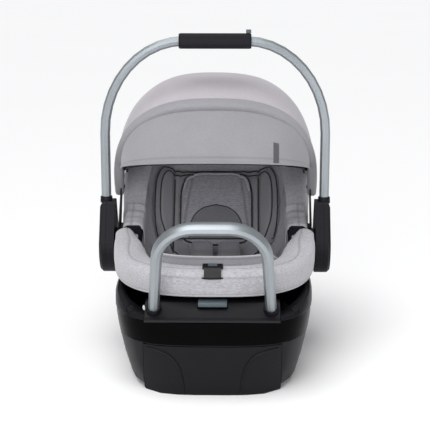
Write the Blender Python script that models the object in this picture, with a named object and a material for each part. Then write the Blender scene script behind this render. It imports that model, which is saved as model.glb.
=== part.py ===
"""Infant car seat: a carrier with carry handle and folding canopy, clicked onto a base with a bar.

Metres, +Z up, +X to the right as seen from the foot end, +Y toward the head end.
The origin is the centre of the base's underside.
"""

import math

import bmesh
import bpy
import numpy as np
from mathutils import Matrix, Vector

# Carrier bowl: plan outline of the hard shell, and how far each layer lies inside it
SHELL_HALF_WIDTH = 0.172
SHELL_FRONT_Y = -0.230
SHELL_BACK_Y = 0.272
SHELL_PLAN_POWER = 3.0
BOWL_POWER = 2.3
SHELL_WALL = 0.004
FOAM_SPAN = (0.0045, 0.016)
LINER_SPAN = (0.0165, 0.021)
FLOOR_RAISE = 1.3
RIM_POINTS = [
    (-0.250, 0.209), (-0.150, 0.213), (-0.060, 0.221), (0.000, 0.230), (0.050, 0.246),
    (0.120, 0.298), (0.200, 0.349), (0.290, 0.376),
]
FLOOR_POINTS = [
    (-0.230, 0.175), (-0.150, 0.106), (-0.060, 0.074), (0.050, 0.074), (0.120, 0.112),
    (0.200, 0.197), (0.272, 0.300),
]
BOWL_SEGMENTS = 44
BOWL_RING_SHARES = (1.0, 0.985, 0.94, 0.86, 0.72, 0.50, 0.26)
RIM_CLEARANCE = 0.003
COVER_CLEARANCE = 0.0032
PAD_CLEARANCE = 0.0035

# Base
BASE_HALF_WIDTH = 0.182
BASE_CENTRE_Y = -0.038
BASE_HALF_LENGTH = 0.247
BASE_PLAN_POWER = 3.8
BASE_BOTTOM_Z = 0.008
BASE_RIDGE_Z = 0.095
BASE_TOP_Z = 0.137
BASE_WALL = 0.005
UNDERSIDE_HALF_WIDTH = 0.110
CONSOLE_HALF_WIDTH = 0.1177
CONSOLE_CREST = (-0.240, 0.163)
RECLINE_HALF_WIDTH = 0.1215
RECLINE_BACK_Y = -0.205
RECLINE_TOP_Z = 0.092

# Anti-rebound bar, leaning toward the foot end
BAR_FOOT_Y = -0.258
BAR_FOOT_Z = 0.157
BAR_LEAN = math.radians(21.5)
BAR_FOOT_X = 0.102
BAR_LEG_X = 0.0945
BAR_TOP_X = 0.0285
BAR_BEND_RADIUS = 0.066
BAR_TOP_V = 0.168
BAR_RADII = (0.0102, 0.0142)
BAR_WALL = 0.0018
BAR_SOCKET_DEPTH = 0.026
SOCKET_WALL = 0.003

# Carry handle
HANDLE_PIVOT = (0.010, 0.205)
HANDLE_X = 0.210
HANDLE_TUBE_RADIUS = 0.0095
HANDLE_TUBE_WALL = 0.0015
HANDLE_TUBE_START_Z = 0.2455
HANDLE_BEND_START_Z = 0.4205
HANDLE_TOP_Z = 0.5955
HANDLE_BEND_CENTRE_X = 0.058
GRIP_HALF_LENGTH = 0.068
GRIP_HALF_SIZE = (0.0165, 0.0143)
HUB_RADIUS = 0.056
HUB_NECK_HALF_WIDTH = 0.0185
HUB_TOP_Z = 0.290
HUB_SPAN = (0.1923, 0.2212)
HUB_SPLIT_X = 0.2085
BOLT_RADIUS = 0.008
BORE_CLEARANCE = 0.00008

# Canopy
CANOPY_PIVOT = (0.070, 0.305)
CANOPY_POWER = 2.6
BAND_HALF_WIDTH = 0.1995
BAND_RADIUS = 0.2155
BAND_THICKNESS = 0.0030
FRONT_BOW_ANGLE = 31.0
MID_BOW_ANGLE = -20.0
CANOPY_REAR_ANGLE = -62.0
CANOPY_HALF_WIDTHS = (0.1953, 0.1957, 0.1930)
CANOPY_RADII = (0.2113, 0.2268, 0.2400)
BOW_WIDTH = 0.010
BOW_THICKNESS = 0.0025
PIN_RADIUS = 0.0035
EYELET_RADIUS = 0.008
VISOR_PIVOT_REACH = 0.047
VISOR_ANGLE = 74.7
VISOR_HALF_WIDTH = 0.1770
VISOR_RADIUS = 0.157

GAP = 0.0004

MATERIALS = {
    "moulded_black": ((0.016, 0.016, 0.018), 0.55, 0.0),
    "gloss_black": ((0.006, 0.006, 0.007), 0.22, 0.0),
    "satin_silver": ((0.42, 0.46, 0.49), 0.32, 1.0),
    "steel": ((0.45, 0.45, 0.46), 0.35, 1.0),
    "slate_plastic": ((0.09, 0.115, 0.13), 0.5, 0.0),
    "foam": ((0.06, 0.06, 0.065), 0.9, 0.0),
    "heather_light": ((0.55, 0.54, 0.57), 0.9, 0.0),
    "heather_mid": ((0.25, 0.245, 0.265), 0.9, 0.0),
    "canopy_cloth": ((0.46, 0.43, 0.46), 0.85, 0.0),
    "visor_cloth": ((0.36, 0.355, 0.375), 0.85, 0.0),
    "pad_grey": ((0.15, 0.15, 0.165), 0.85, 0.0),
    "webbing": ((0.012, 0.012, 0.013), 0.8, 0.0),
    "rubber": ((0.012, 0.012, 0.012), 0.9, 0.0),
    "release_red": ((0.45, 0.03, 0.02), 0.45, 0.0),
}


# ---------------------------------------------------------------- scene and mesh helpers

def clear_scene():
    for obj in list(bpy.data.objects):
        bpy.data.objects.remove(obj, do_unlink=True)


def material(key):
    found = bpy.data.materials.get(key)
    if found:
        return found
    colour, roughness, metallic = MATERIALS[key]
    made = bpy.data.materials.new(key)
    made.use_nodes = True
    shader = made.node_tree.nodes["Principled BSDF"]
    shader.inputs["Base Color"].default_value = (*colour, 1.0)
    shader.inputs["Roughness"].default_value = roughness
    shader.inputs["Metallic"].default_value = metallic
    return made


def mesh_object(name, verts, faces, key, smooth=True):
    mesh = bpy.data.meshes.new(name)
    mesh.from_pydata([tuple(float(c) for c in v) for v in verts], [], faces)
    bm = bmesh.new()
    bm.from_mesh(mesh)
    bmesh.ops.recalc_face_normals(bm, faces=bm.faces)
    if bm.calc_volume(signed=True) < 0:
        bmesh.ops.reverse_faces(bm, faces=bm.faces)
    bm.to_mesh(mesh)
    bm.free()
    obj = bpy.data.objects.new(name, mesh)
    obj.data.materials.append(material(key))
    bpy.context.scene.collection.objects.link(obj)
    if smooth:
        mesh.shade_smooth()
        mesh.set_sharp_from_angle(angle=math.radians(40))
    return obj


def loft(name, rings, key, loop=False):
    """Skins a run of equal rings; loop joins the last ring to the first instead of capping."""
    count = len(rings[0])
    verts = [p for ring in rings for p in ring]
    faces = []
    spans = len(rings) if loop else len(rings) - 1
    for i in range(spans):
        a = i * count
        b = ((i + 1) % len(rings)) * count
        for j in range(count):
            k = (j + 1) % count
            faces.append((a + j, a + k, b + k, b + j))
    if not loop:
        faces.append(tuple(range(count))[::-1])
        faces.append(tuple(range(len(verts) - count, len(verts))))
    return mesh_object(name, verts, faces, key)


def box(name, low, high, key, bevel=0.0):
    x0, y0, z0 = low
    x1, y1, z1 = high
    ring = [(x0, y0), (x1, y0), (x1, y1), (x0, y1)]
    obj = loft(name, [[(x, y, z0) for x, y in ring], [(x, y, z1) for x, y in ring]], key)
    if bevel:
        round_edges(obj, bevel)
    return obj


def round_edges(obj, width, segments=2):
    modifier = obj.modifiers.new("edges", "BEVEL")
    modifier.width = width
    modifier.segments = segments
    modifier.limit_method = "ANGLE"
    modifier.angle_limit = math.radians(35)


def frame_along(direction):
    w = Vector(direction).normalized()
    helper = Vector((1, 0, 0)) if abs(w.x) < 0.9 else Vector((0, 1, 0))
    u = helper.cross(w).normalized()
    return u, w.cross(u), w


def cylinder(name, start, end, radius, key, segments=24):
    start, end = Vector(start), Vector(end)
    u, v, _ = frame_along(end - start)
    angles = [2 * math.pi * i / segments for i in range(segments)]
    ring = [radius * (math.cos(a) * u + math.sin(a) * v) for a in angles]
    return loft(name, [[start + p for p in ring], [end + p for p in ring]], key)


def side_plate(name, outline, x0, x1, key, inset=0.0):
    """Extrudes a (y, z) outline along X; inset draws in the outline of the outer end."""
    centre = np.mean(np.array(outline), axis=0)
    shrunk = [tuple(centre + (np.array(p) - centre) * (1 - inset)) for p in outline]
    rings = [[(x0, y, z) for y, z in outline]]
    if inset:
        edge = x1 - math.copysign(0.005, x1)
        rings.append([(edge, y, z) for y, z in outline])
        rings.append([(x1, y, z) for y, z in shrunk])
    else:
        rings.append([(x1, y, z) for y, z in outline])
    return loft(name, rings, key)


def split_quads(obj):
    """Triangles, so that a Boolean meets only flat faces."""
    bm = bmesh.new()
    bm.from_mesh(obj.data)
    bmesh.ops.triangulate(bm, faces=bm.faces)
    bm.to_mesh(obj.data)
    bm.free()


def combine(obj, other, operation):
    """Applies one exact Boolean and removes the other object."""
    split_quads(obj)
    split_quads(other)
    modifier = obj.modifiers.new("cut", "BOOLEAN")
    modifier.operation = operation
    modifier.object = other
    modifier.solver = "EXACT"
    depsgraph = bpy.context.evaluated_depsgraph_get()
    depsgraph.update()
    result = bpy.data.meshes.new_from_object(obj.evaluated_get(depsgraph))
    obj.modifiers.clear()
    obj.data = result
    bpy.data.objects.remove(other, do_unlink=True)
    return obj


def cut(obj, cutter):
    return combine(obj, cutter, "DIFFERENCE")


def join(obj, other):
    return combine(obj, other, "UNION")


def mirrored(obj, name):
    """A left-hand copy of a right-hand piece."""
    depsgraph = bpy.context.evaluated_depsgraph_get()
    depsgraph.update()
    mesh = bpy.data.meshes.new_from_object(obj.evaluated_get(depsgraph))
    mesh.transform(Matrix.Scale(-1, 4, (1, 0, 0)))
    mesh.flip_normals()
    twin = bpy.data.objects.new(name, mesh)
    bpy.context.scene.collection.objects.link(twin)
    return twin


def hang_on(name, location, objects):
    """Parents pieces to an empty that stands on their joint's axis."""
    empty = bpy.data.objects.new(name, None)
    empty.empty_display_size = 0.02
    empty.location = location
    bpy.context.scene.collection.objects.link(empty)
    bpy.context.view_layer.update()
    for obj in objects:
        obj.parent = empty
        obj.matrix_parent_inverse = empty.matrix_world.inverted()
    return empty


# ---------------------------------------------------------------- curves and outlines

def smooth_curve(points):
    """Monotone cubic through (position, value) points, so a rim has no overshoot."""
    xs = np.array([p[0] for p in points])
    ys = np.array([p[1] for p in points])
    steps = np.diff(xs)
    slopes = np.diff(ys) / steps
    tangents = np.zeros(len(xs))
    tangents[0], tangents[-1] = slopes[0], slopes[-1]
    for i in range(1, len(xs) - 1):
        if slopes[i - 1] * slopes[i] > 0:
            tangents[i] = 2 / (1 / slopes[i - 1] + 1 / slopes[i])

    def value(x):
        x = min(max(x, xs[0]), xs[-1])
        i = min(int(np.searchsorted(xs, x, side="right")) - 1, len(steps) - 1)
        t = (x - xs[i]) / steps[i]
        return (
            (2 * t**3 - 3 * t**2 + 1) * ys[i] + (t**3 - 2 * t**2 + t) * steps[i] * tangents[i]
            + (3 * t**2 - 2 * t**3) * ys[i + 1] + (t**3 - t**2) * steps[i] * tangents[i + 1]
        )

    return value


def ease(t):
    t = min(max(t, 0.0), 1.0)
    return t * t * (3 - 2 * t)


def signed_power(value, power):
    return math.copysign(abs(value) ** power, value)


def resample(points, count, closed=False):
    pts = np.array(points, float)
    if closed:
        pts = np.vstack([pts, pts[:1]])
    lengths = np.concatenate([[0], np.cumsum(np.linalg.norm(np.diff(pts, axis=0), axis=1))])
    stops = np.linspace(0, lengths[-1], count + 1 if closed else count)
    if closed:
        stops = stops[:-1]
    return [tuple(np.interp(s, lengths, pts[:, i]) for i in range(pts.shape[1])) for s in stops]


def unit_outline(half_width, half_length, power, count):
    """Evenly spaced points of a superellipse, scaled back to unit half sizes."""
    dense = []
    for i in range(720):
        a = 2 * math.pi * i / 720
        x = signed_power(math.cos(a), 2 / power)
        y = signed_power(math.sin(a), 2 / power)
        dense.append((x * half_width, y * half_length))
    return [(x / half_width, y / half_length) for x, y in resample(dense, count, closed=True)]


def half_outline(half_width, half_length, power, y_stop, count):
    """The stretch of a superellipse beyond y_stop, run from +X to -X, in unit half sizes.

    y_stop is a share of half_length; a negative one gives the foot end.
    """
    side = -1 if y_stop <= 0 else 1
    start = math.asin(abs(y_stop) ** (power / 2))
    dense = []
    for i in range(361):
        a = start + (math.pi - 2 * start) * i / 360
        x = signed_power(math.cos(a), 2 / power)
        y = side * signed_power(math.sin(a), 2 / power)
        dense.append((x * half_width, y * half_length))
    return [(x / half_width, y / half_length) for x, y in resample(dense, count)]


def teardrop(radius, neck, top, centre=HANDLE_PIVOT, count=22):
    """Disc round a centre with a neck that rises to a height: a (y, z) outline."""
    cy, cz = centre
    start = math.radians(12)
    points = [(cy + neck, top - 0.003), (cy + neck - 0.003, top)]
    points += [(cy - neck + 0.003, top), (cy - neck, top - 0.003)]
    for i in range(count + 1):
        a = math.pi - start + (math.pi + 2 * start) * i / count
        points.append((cy + radius * math.cos(a), cz + radius * math.sin(a)))
    return points


rim_height = smooth_curve(RIM_POINTS)
floor_height = smooth_curve(FLOOR_POINTS)
SHELL_CENTRE_Y = (SHELL_FRONT_Y + SHELL_BACK_Y) / 2
SHELL_HALF_LENGTH = (SHELL_BACK_Y - SHELL_FRONT_Y) / 2


def bowl_height(x, y, depth_in):
    """Height of the bowl surface that lies depth_in inside the shell's outer face."""
    u = abs(x) / (SHELL_HALF_WIDTH - depth_in)
    v = abs(y - SHELL_CENTRE_Y) / (SHELL_HALF_LENGTH - depth_in)
    k = min((u**SHELL_PLAN_POWER + v**SHELL_PLAN_POWER) ** (1 / SHELL_PLAN_POWER), 1.0)
    drop = (1 - k**BOWL_POWER) ** (1 / BOWL_POWER)
    rim = rim_height(y)
    return rim + (floor_height(y) + FLOOR_RAISE * depth_in - rim) * drop


# ---------------------------------------------------------------- carrier: bowl and covers

def bowl_layer(name, outside, inside, key):
    """One nested layer of the bowl, open at the top, between two depths inside the shell face."""
    unit = unit_outline(SHELL_HALF_WIDTH, SHELL_HALF_LENGTH, SHELL_PLAN_POWER, BOWL_SEGMENTS)
    verts, faces = [], []

    def surface(depth_in):
        first = len(verts)
        for k in BOWL_RING_SHARES:
            for cx, cy in unit:
                x = (SHELL_HALF_WIDTH - depth_in) * cx * k
                y = SHELL_CENTRE_Y + (SHELL_HALF_LENGTH - depth_in) * cy * k
                verts.append((x, y, bowl_height(x, y, depth_in)))
        verts.append((0, SHELL_CENTRE_Y, bowl_height(0, SHELL_CENTRE_Y, depth_in)))
        for j in range(len(BOWL_RING_SHARES) - 1):
            for i in range(BOWL_SEGMENTS):
                k = (i + 1) % BOWL_SEGMENTS
                a, b = first + j * BOWL_SEGMENTS, first + (j + 1) * BOWL_SEGMENTS
                faces.append((a + i, a + k, b + k, b + i))
        last, pole = len(verts) - 1 - BOWL_SEGMENTS, len(verts) - 1
        for i in range(BOWL_SEGMENTS):
            faces.append((last + i, last + (i + 1) % BOWL_SEGMENTS, pole))
        return first

    outer, inner = surface(outside), surface(inside)
    for i in range(BOWL_SEGMENTS):
        k = (i + 1) % BOWL_SEGMENTS
        faces.append((outer + i, outer + k, inner + k, inner + i))
    return mesh_object(name, verts, faces, key)


def rim_point(cx, cy, outward, rise):
    """A point beside the rim: outward from the shell's outer face, and rise above the rim."""
    x = (SHELL_HALF_WIDTH + outward) * cx
    y = SHELL_CENTRE_Y + (SHELL_HALF_LENGTH + outward) * cy
    rim_y = SHELL_CENTRE_Y + SHELL_HALF_LENGTH * cy
    return (x, y, rim_height(rim_y) + rise)


def rim_sweep(name, profile, y_stop, stations, key, swell=lambda y: 0.0):
    """Sweeps an (outward, rise) profile round one end of the rim; swell(y) lifts its top."""
    share = (y_stop - SHELL_CENTRE_Y) / SHELL_HALF_LENGTH
    path = half_outline(SHELL_HALF_WIDTH, SHELL_HALF_LENGTH, SHELL_PLAN_POWER, share, stations)
    rings = []
    for cx, cy in path:
        lift = swell(SHELL_CENTRE_Y + SHELL_HALF_LENGTH * cy)
        rings.append([rim_point(cx, cy, n, rise + (lift if rise > RIM_CLEARANCE else 0.0))
                      for n, rise in profile])
    return loft(name, rings, key)


def hook_profile(outer, inner, top, hem_out, hem_in):
    """Rolled cover over the rim: a padded arch with a slot underneath for the three layers."""
    slot_in = -LINER_SPAN[1] - COVER_CLEARANCE
    slot_out = 0.75 * COVER_CLEARANCE
    return [
        (0.45 * outer, -hem_out - 0.001), (0.9 * outer, -hem_out + 0.002),
        (outer, -0.5 * hem_out), (0.95 * outer, 0.0), (0.6 * outer, 0.75 * top), (0.0, top),
        (0.5 * inner, 0.85 * top), (0.82 * inner, 0.4 * top), (inner, 0.0), (inner, -0.7 * hem_in),
        (0.86 * inner, -hem_in), (slot_in, -hem_in), (slot_in, RIM_CLEARANCE),
        (slot_out, RIM_CLEARANCE), (slot_out, -hem_out),
    ]


def cushion(name, centre, half_size, power, under, thickness, key, rings=5, segments=24):
    """A pad that lies on the surface under(x, y), with its own thickness(x, y) straight up."""
    outline = unit_outline(half_size[0], half_size[1], power, segments)
    verts, faces = [], []
    tops = []
    for level in (0, 1):
        first = len(verts)
        tops.append(first)
        for j in range(rings):
            share = 1 - (j / rings) ** 1.4
            for cx, cy in outline:
                x = centre[0] + half_size[0] * cx * share
                y = centre[1] + half_size[1] * cy * share
                z = under(x, y)
                verts.append((x, y, z + level * thickness(x, y)))
        x, y = centre
        verts.append((x, y, under(x, y) + level * thickness(x, y)))
        for j in range(rings - 1):
            for i in range(segments):
                k = (i + 1) % segments
                a, b = first + j * segments, first + (j + 1) * segments
                faces.append((a + i, a + k, b + k, b + i))
        last = first + (rings - 1) * segments
        for i in range(segments):
            faces.append((last + i, last + (i + 1) % segments, len(verts) - 1))
    for i in range(segments):
        k = (i + 1) % segments
        faces.append((tops[0] + i, tops[0] + k, tops[1] + k, tops[1] + i))
    return mesh_object(name, verts, faces, key)


def crown(x, y, centre, half_size, power):
    """1 at a pad's middle, falling to 0 at its outline."""
    u, v = abs(x - centre[0]) / half_size[0], abs(y - centre[1]) / half_size[1]
    rho = min((u**power + v**power) ** (1 / power), 1.0)
    return (1 - rho**3) ** 0.5


SEAT_PAD = {"centre": (0.0, -0.060), "half_size": (0.122, 0.129), "power": 3.0}
HEAD_PAD = {"centre": (0.0, 0.146), "half_size": (0.131, 0.074), "power": 3.0}
PILLOW = {"centre": (0.0, 0.152), "half_size": (0.077, 0.054), "power": 4.2}
seat_pad_rise = smooth_curve([(-0.190, 0.058), (-0.150, 0.060), (-0.090, 0.043),
                              (-0.030, 0.036), (0.07, 0.020)])


def liner_top(x, y):
    return bowl_height(x, y, LINER_SPAN[1]) + PAD_CLEARANCE


def seat_pad_thickness(x, y):
    return 0.003 + seat_pad_rise(y) * crown(x, y, **SEAT_PAD)


def head_pad_thickness(x, y):
    wing = 1 / (1 + math.exp(-(abs(x) - 0.0935) / 0.004))
    return 0.003 + (0.018 + 0.046 * wing) * crown(x, y, **HEAD_PAD)


def head_pad_top(x, y):
    return liner_top(x, y) + head_pad_thickness(x, y) + 0.010


def strap(name, points, width, thickness, key, across=(1, 0, 0), stations=14):
    """Flat webbing along a smooth route of points, its width along one direction."""
    route = [Vector(p) for p in resample(spline(points), stations)]
    across = Vector(across)
    rings = []
    for i, p in enumerate(route):
        ahead = route[min(i + 1, len(route) - 1)] - route[max(i - 1, 0)]
        normal = across.cross(ahead).normalized() * thickness / 2
        side = across * width / 2
        rings.append([p + side + normal, p - side + normal, p - side - normal, p + side - normal])
    return loft(name, rings, key)


def spline(points, per_span=10):
    """Catmull-Rom curve through points."""
    pts = [np.array(p, float) for p in points]
    pts = [2 * pts[0] - pts[1]] + pts + [2 * pts[-1] - pts[-2]]
    curve = []
    for i in range(1, len(pts) - 2):
        p0, p1, p2, p3 = pts[i - 1:i + 3]
        for j in range(per_span):
            t = j / per_span
            curve.append(
                0.5 * (2 * p1 + (p2 - p0) * t + (2 * p0 - 5 * p1 + 4 * p2 - p3) * t**2
                       + (3 * p1 - p0 - 3 * p2 + p3) * t**3)
            )
    curve.append(pts[-2])
    return curve


def build_bowl():
    bowl_layer("carrier_shell", 0.0, SHELL_WALL, "moulded_black")
    bowl_layer("foam_liner", *FOAM_SPAN, "foam")
    bowl_layer("seat_liner", *LINER_SPAN, "heather_mid")
    front = hook_profile(0.0195, -0.036, 0.012, 0.035, 0.004)
    arm_lift = smooth_curve([(-0.150, 0.0), (-0.080, 0.006), (-0.024, 0.011)])
    rim_sweep("front_cover", front, -0.026, 26, "heather_light", swell=arm_lift)
    rear = hook_profile(0.0122, -0.031, 0.012, 0.048, 0.008)
    rim_sweep("rear_cover", rear, 0.052, 26, "heather_mid")


def build_cushions():
    cushion("seat_pad", **SEAT_PAD, under=lambda x, y: liner_top(x, y) + 0.0035,
            thickness=seat_pad_thickness, key="pad_grey")
    cushion("head_support", **HEAD_PAD, under=lambda x, y: liner_top(x, y) + 0.004,
            thickness=head_pad_thickness, key="pad_grey", rings=7, segments=28)
    cushion("head_pillow", **PILLOW, under=head_pad_top,
            thickness=lambda x, y: 0.003 + 0.018 * crown(x, y, **PILLOW), key="heather_mid",
            rings=5, segments=20)


def build_harness():
    """Shoulder straps, their pads, the buckle on its crotch strap, and the front adjuster."""
    for side, tag in ((1, "right"), (-1, "left")):
        x = side * 0.026
        pad_low, pad_high = (x - 0.0215, -0.031, 0.160), (x + 0.0215, 0.046, 0.177)
        pad = box(f"harness_pad_{tag}", pad_low, pad_high, "pad_grey", bevel=0.007)
        pad.modifiers["edges"].segments = 3
        route = [(x, 0.0466, 0.169), (x, 0.055, 0.172), (x, 0.063, 0.181), (x, 0.068, 0.190)]
        strap(f"harness_strap_{tag}", route, 0.025, 0.0016, "webbing", stations=6)


def build_buckle():
    body = box("buckle", (-0.021, -0.086, 0.172), (0.021, -0.034, 0.190), "moulded_black")
    round_edges(body, 0.003)
    depsgraph = bpy.context.evaluated_depsgraph_get()
    depsgraph.update()
    body.data = bpy.data.meshes.new_from_object(body.evaluated_get(depsgraph))
    body.modifiers.clear()
    cut(body, box("pocket", (-0.0125, -0.074, 0.1832), (0.0125, -0.050, 0.20), "steel"))
    button = box("buckle_button", (-0.0121, -0.0736, 0.1868), (0.0121, -0.0504, 0.1918),
                 "release_red")
    hang_on("buckle_axis", (0, -0.062, 0.189), [button])


# ---------------------------------------------------------------- carrier: plastic fittings

def build_handle_mounts():
    """Bosses on the shell's sides, with the spigots that the handle turns on."""
    outline = teardrop(0.030, 0.030, 0.2295, count=16)
    boss = side_plate("handle_mount_right", outline, 0.1726, 0.1917, "moulded_black")
    y, z = HANDLE_PIVOT
    join(boss, cylinder("spigot", (0.180, y, z), (0.2075, y, z), BOLT_RADIUS, "steel", 32))
    mirrored(boss, "handle_mount_left")


def build_belt_guides():
    """Saddles on the rim that take the vehicle belt between the two covers."""
    slot = RIM_CLEARANCE
    profile = [(0.004, slot), (0.004, 0.0095), (-0.002, 0.0125), (-0.024, 0.0125),
               (-0.029, 0.0095), (-0.030, -0.020), (-0.0235, -0.020), (-0.0235, slot)]
    rings = []
    for i in range(7):
        y = -0.020 + 0.064 * i / 6
        share = (y - SHELL_CENTRE_Y) / SHELL_HALF_LENGTH
        cx = (1 - abs(share) ** SHELL_PLAN_POWER) ** (1 / SHELL_PLAN_POWER)
        rings.append([rim_point(cx, share, n, rise) for n, rise in profile])
    guide = loft("belt_guide_right", rings, "moulded_black")
    mirrored(guide, "belt_guide_left")


def build_canopy_brackets():
    """Arms that carry the canopy's pivot pins above the rim."""
    y, z = CANOPY_PIVOT
    outline = [(0.004, 0.2302), (0.040, 0.2302), (y + 0.0085, z - 0.006)]
    outline += [(y + 0.009 * math.cos(a), z + 0.009 * math.sin(a)) for a in (0.0, 0.9, 1.7, 2.5)]
    outline += [(0.004, 0.245)]
    arm = side_plate("canopy_bracket_right", outline, 0.1848, 0.1872, "moulded_black")
    foot = box("foot", (0.1785, 0.004, 0.2302), (0.1860, 0.038, 0.2385), "moulded_black")
    join(arm, foot)
    join(arm, cylinder("pin", (0.1795, y, z), (0.1904, y, z), PIN_RADIUS, "steel", 16))
    mirrored(arm, "canopy_bracket_left")


def build_release():
    """Squeeze release behind the head end, and the tongue that it draws off the base's bar."""
    housing = side_plate("release_housing",
                         [(0.1840, 0.205), (0.240, 0.205), (0.240, 0.246), (0.2095, 0.246)],
                         -0.052, 0.052, "moulded_black")
    cut(housing, box("slot", (-0.0465, 0.2120, 0.211), (0.0465, 0.25, 0.26), "steel"))
    lever = box("release_lever", (-0.0455, 0.2135, 0.2115), (0.0455, 0.2385, 0.2265),
                "slate_plastic", bevel=0.003)
    hang_on("release_axis", (0, 0.226, 0.219), [lever])

    keeper = side_plate("latch_housing",
                        [(0.1085, 0.0785), (0.1430, 0.0785), (0.1430, 0.1472), (0.1085, 0.1125)],
                        -0.026, 0.026, "moulded_black")
    cut(keeper, box("slot", (-0.0185, 0.100, 0.0815), (0.0185, 0.1386, 0.0955), "steel"))
    tongue = box("latch_tongue", (-0.018, 0.1065, 0.082), (0.018, 0.1300, 0.095), "steel",
                 bevel=0.002)
    hang_on("latch_axis", (0, 0.118, 0.0885), [tongue])


def build_adjuster():
    """Harness tightener on the foot end: its housing, press button and webbing tail."""
    housing = box("adjuster_housing", (-0.018, -0.2400, 0.2223), (0.018, -0.2180, 0.2258),
                  "moulded_black")
    cut(housing, box("pocket", (-0.0083, -0.2348, 0.2231), (0.0083, -0.2222, 0.24), "steel"))
    strap("adjuster_strap", [(0, -0.2406, 0.2232), (0, -0.2460, 0.2205), (0, -0.2507, 0.2165),
                             (0, -0.2537, 0.2085)], 0.029, 0.0014, "webbing", stations=9)
    button = box("adjuster_button", (-0.008, -0.2345, 0.2250), (0.008, -0.2225, 0.2275),
                 "slate_plastic")
    hang_on("adjuster_axis", (0, -0.2285, 0.2262), [button])


# ---------------------------------------------------------------- carry handle

def swept_tube(name, path, normal_of, radii, wall, key, sides=10):
    """Open-ended hollow tube: radii are half sizes in the path's plane and along its normal."""
    rings = []
    for shrink in (0.0, wall):
        part = []
        for i, p in enumerate(path):
            ahead = (path[min(i + 1, len(path) - 1)] - path[max(i - 1, 0)]).normalized()
            normal = Vector(normal_of)
            inplane = ahead.cross(normal).normalized()
            ring = []
            for j in range(sides):
                a = 2 * math.pi * (j + 0.5) / sides
                ring.append(p + inplane * (radii[0] - shrink) * math.cos(a)
                            + normal * (radii[1] - shrink) * math.sin(a))
            part.append(ring)
        rings += part if shrink == 0.0 else part[::-1]
    return loft(name, rings, key, loop=True)


def handle_path():
    y = HANDLE_PIVOT[0]
    semi_x = HANDLE_X - HANDLE_BEND_CENTRE_X
    semi_z = HANDLE_TOP_Z - HANDLE_BEND_START_Z
    right = [(HANDLE_X, y, HANDLE_TUBE_START_Z), (HANDLE_X, y, 0.340)]
    for i in range(11):
        a = 0.5 * math.pi * i / 10
        right.append((HANDLE_BEND_CENTRE_X + semi_x * math.cos(a), y,
                      HANDLE_BEND_START_Z + semi_z * math.sin(a)))
    left = [(-x, y, z) for x, y, z in right[::-1]]
    return [Vector(p) for p in right + left]


def build_handle():
    radii = (HANDLE_TUBE_RADIUS, HANDLE_TUBE_RADIUS)
    tube = swept_tube("handle_tube", handle_path(), (0, 1, 0), radii, HANDLE_TUBE_WALL,
                      "satin_silver")
    y, z = HANDLE_PIVOT
    outline = teardrop(HUB_RADIUS, HUB_NECK_HALF_WIDTH, HUB_TOP_Z)
    socket = [(HANDLE_X, y, HANDLE_TUBE_START_Z - 0.0008), (HANDLE_X, y, 0.300)]
    inner = side_plate("hub_inner_right", outline, HUB_SPAN[0], HUB_SPLIT_X - 0.0002,
                       "moulded_black")
    bore = BOLT_RADIUS + BORE_CLEARANCE
    cut(inner, cylinder("bore", (0.185, y, z), (0.215, y, z), bore, "steel", 32))
    cut(inner, cylinder("socket", *socket, HANDLE_TUBE_RADIUS + GAP, "steel"))
    cover = side_plate("hub_cover_right", outline, HUB_SPLIT_X + 0.0002, HUB_SPAN[1],
                       "moulded_black", inset=0.10)
    cut(cover, cylinder("socket", *socket, HANDLE_TUBE_RADIUS + GAP, "steel"))
    pieces = [tube, inner, cover, mirrored(inner, "hub_inner_left")]
    pieces += [mirrored(cover, "hub_cover_left"), build_grip()]
    hang_on("handle_axis", (0, y, z), pieces)
    hang_on("handle_button_axis", (0.063, y, HANDLE_TOP_Z + 0.014), [build_handle_button()])


def build_grip():
    y, z = HANDLE_PIVOT[0], HANDLE_TOP_Z
    unit = unit_outline(*GRIP_HALF_SIZE, 3.2, 20)
    ends = ((-1.0, 0.93), (-0.955, 1.0), (0.955, 1.0), (1.0, 0.93))
    rings = [
        [(GRIP_HALF_LENGTH * s, y + GRIP_HALF_SIZE[0] * cx * k, z + GRIP_HALF_SIZE[1] * cy * k)
         for cx, cy in unit]
        for s, k in ends
    ]
    grip = loft("handle_grip", rings, "moulded_black")
    reach = GRIP_HALF_LENGTH + 0.01
    cut(grip, cylinder("bore", (-reach, y, z), (reach, y, z), HANDLE_TUBE_RADIUS + 0.0012, "steel"))
    low = (0.0576, y - 0.0075, z + 0.0108)
    cut(grip, box("notch", low, (0.080, y + 0.0075, z + 0.03), "steel"))
    return grip


def build_handle_button():
    y, z = HANDLE_PIVOT[0], HANDLE_TOP_Z
    return box("handle_button", (0.058, y - 0.007, z + 0.0146), (0.0676, y + 0.007, z + 0.0212),
               "slate_plastic", bevel=0.001)


# ---------------------------------------------------------------- canopy

def fan_point(pivot, angle, half_width, radius, share, power=CANOPY_POWER):
    """A point of an arch that stands at an angle (degrees forward of upright) about a pivot.

    share runs from 0 at the right foot of the arch to 1 at the left foot.
    """
    s = math.pi * share
    x = half_width * signed_power(math.cos(s), 2 / power)
    r = radius * abs(math.sin(s)) ** (2 / power)
    a = math.radians(angle)
    return Vector((x, pivot[0] - r * math.sin(a), pivot[1] + r * math.cos(a)))


def arch_shares(radius, start_reach, count, power=CANOPY_POWER):
    """Shares along an arch, evenly spaced by length, starting start_reach above its feet."""
    first = math.asin((start_reach / radius) ** (power / 2)) / math.pi
    dense = [first + (1 - 2 * first) * i / 400 for i in range(401)]
    pts = [fan_point((0, 0), 0, BAND_HALF_WIDTH, radius, s, power) for s in dense]
    steps = [0.0]
    for a, b in zip(pts, pts[1:]):
        steps.append(steps[-1] + (b - a).length)
    return [float(np.interp(steps[-1] * i / (count - 1), steps, dense)) for i in range(count)]


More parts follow.
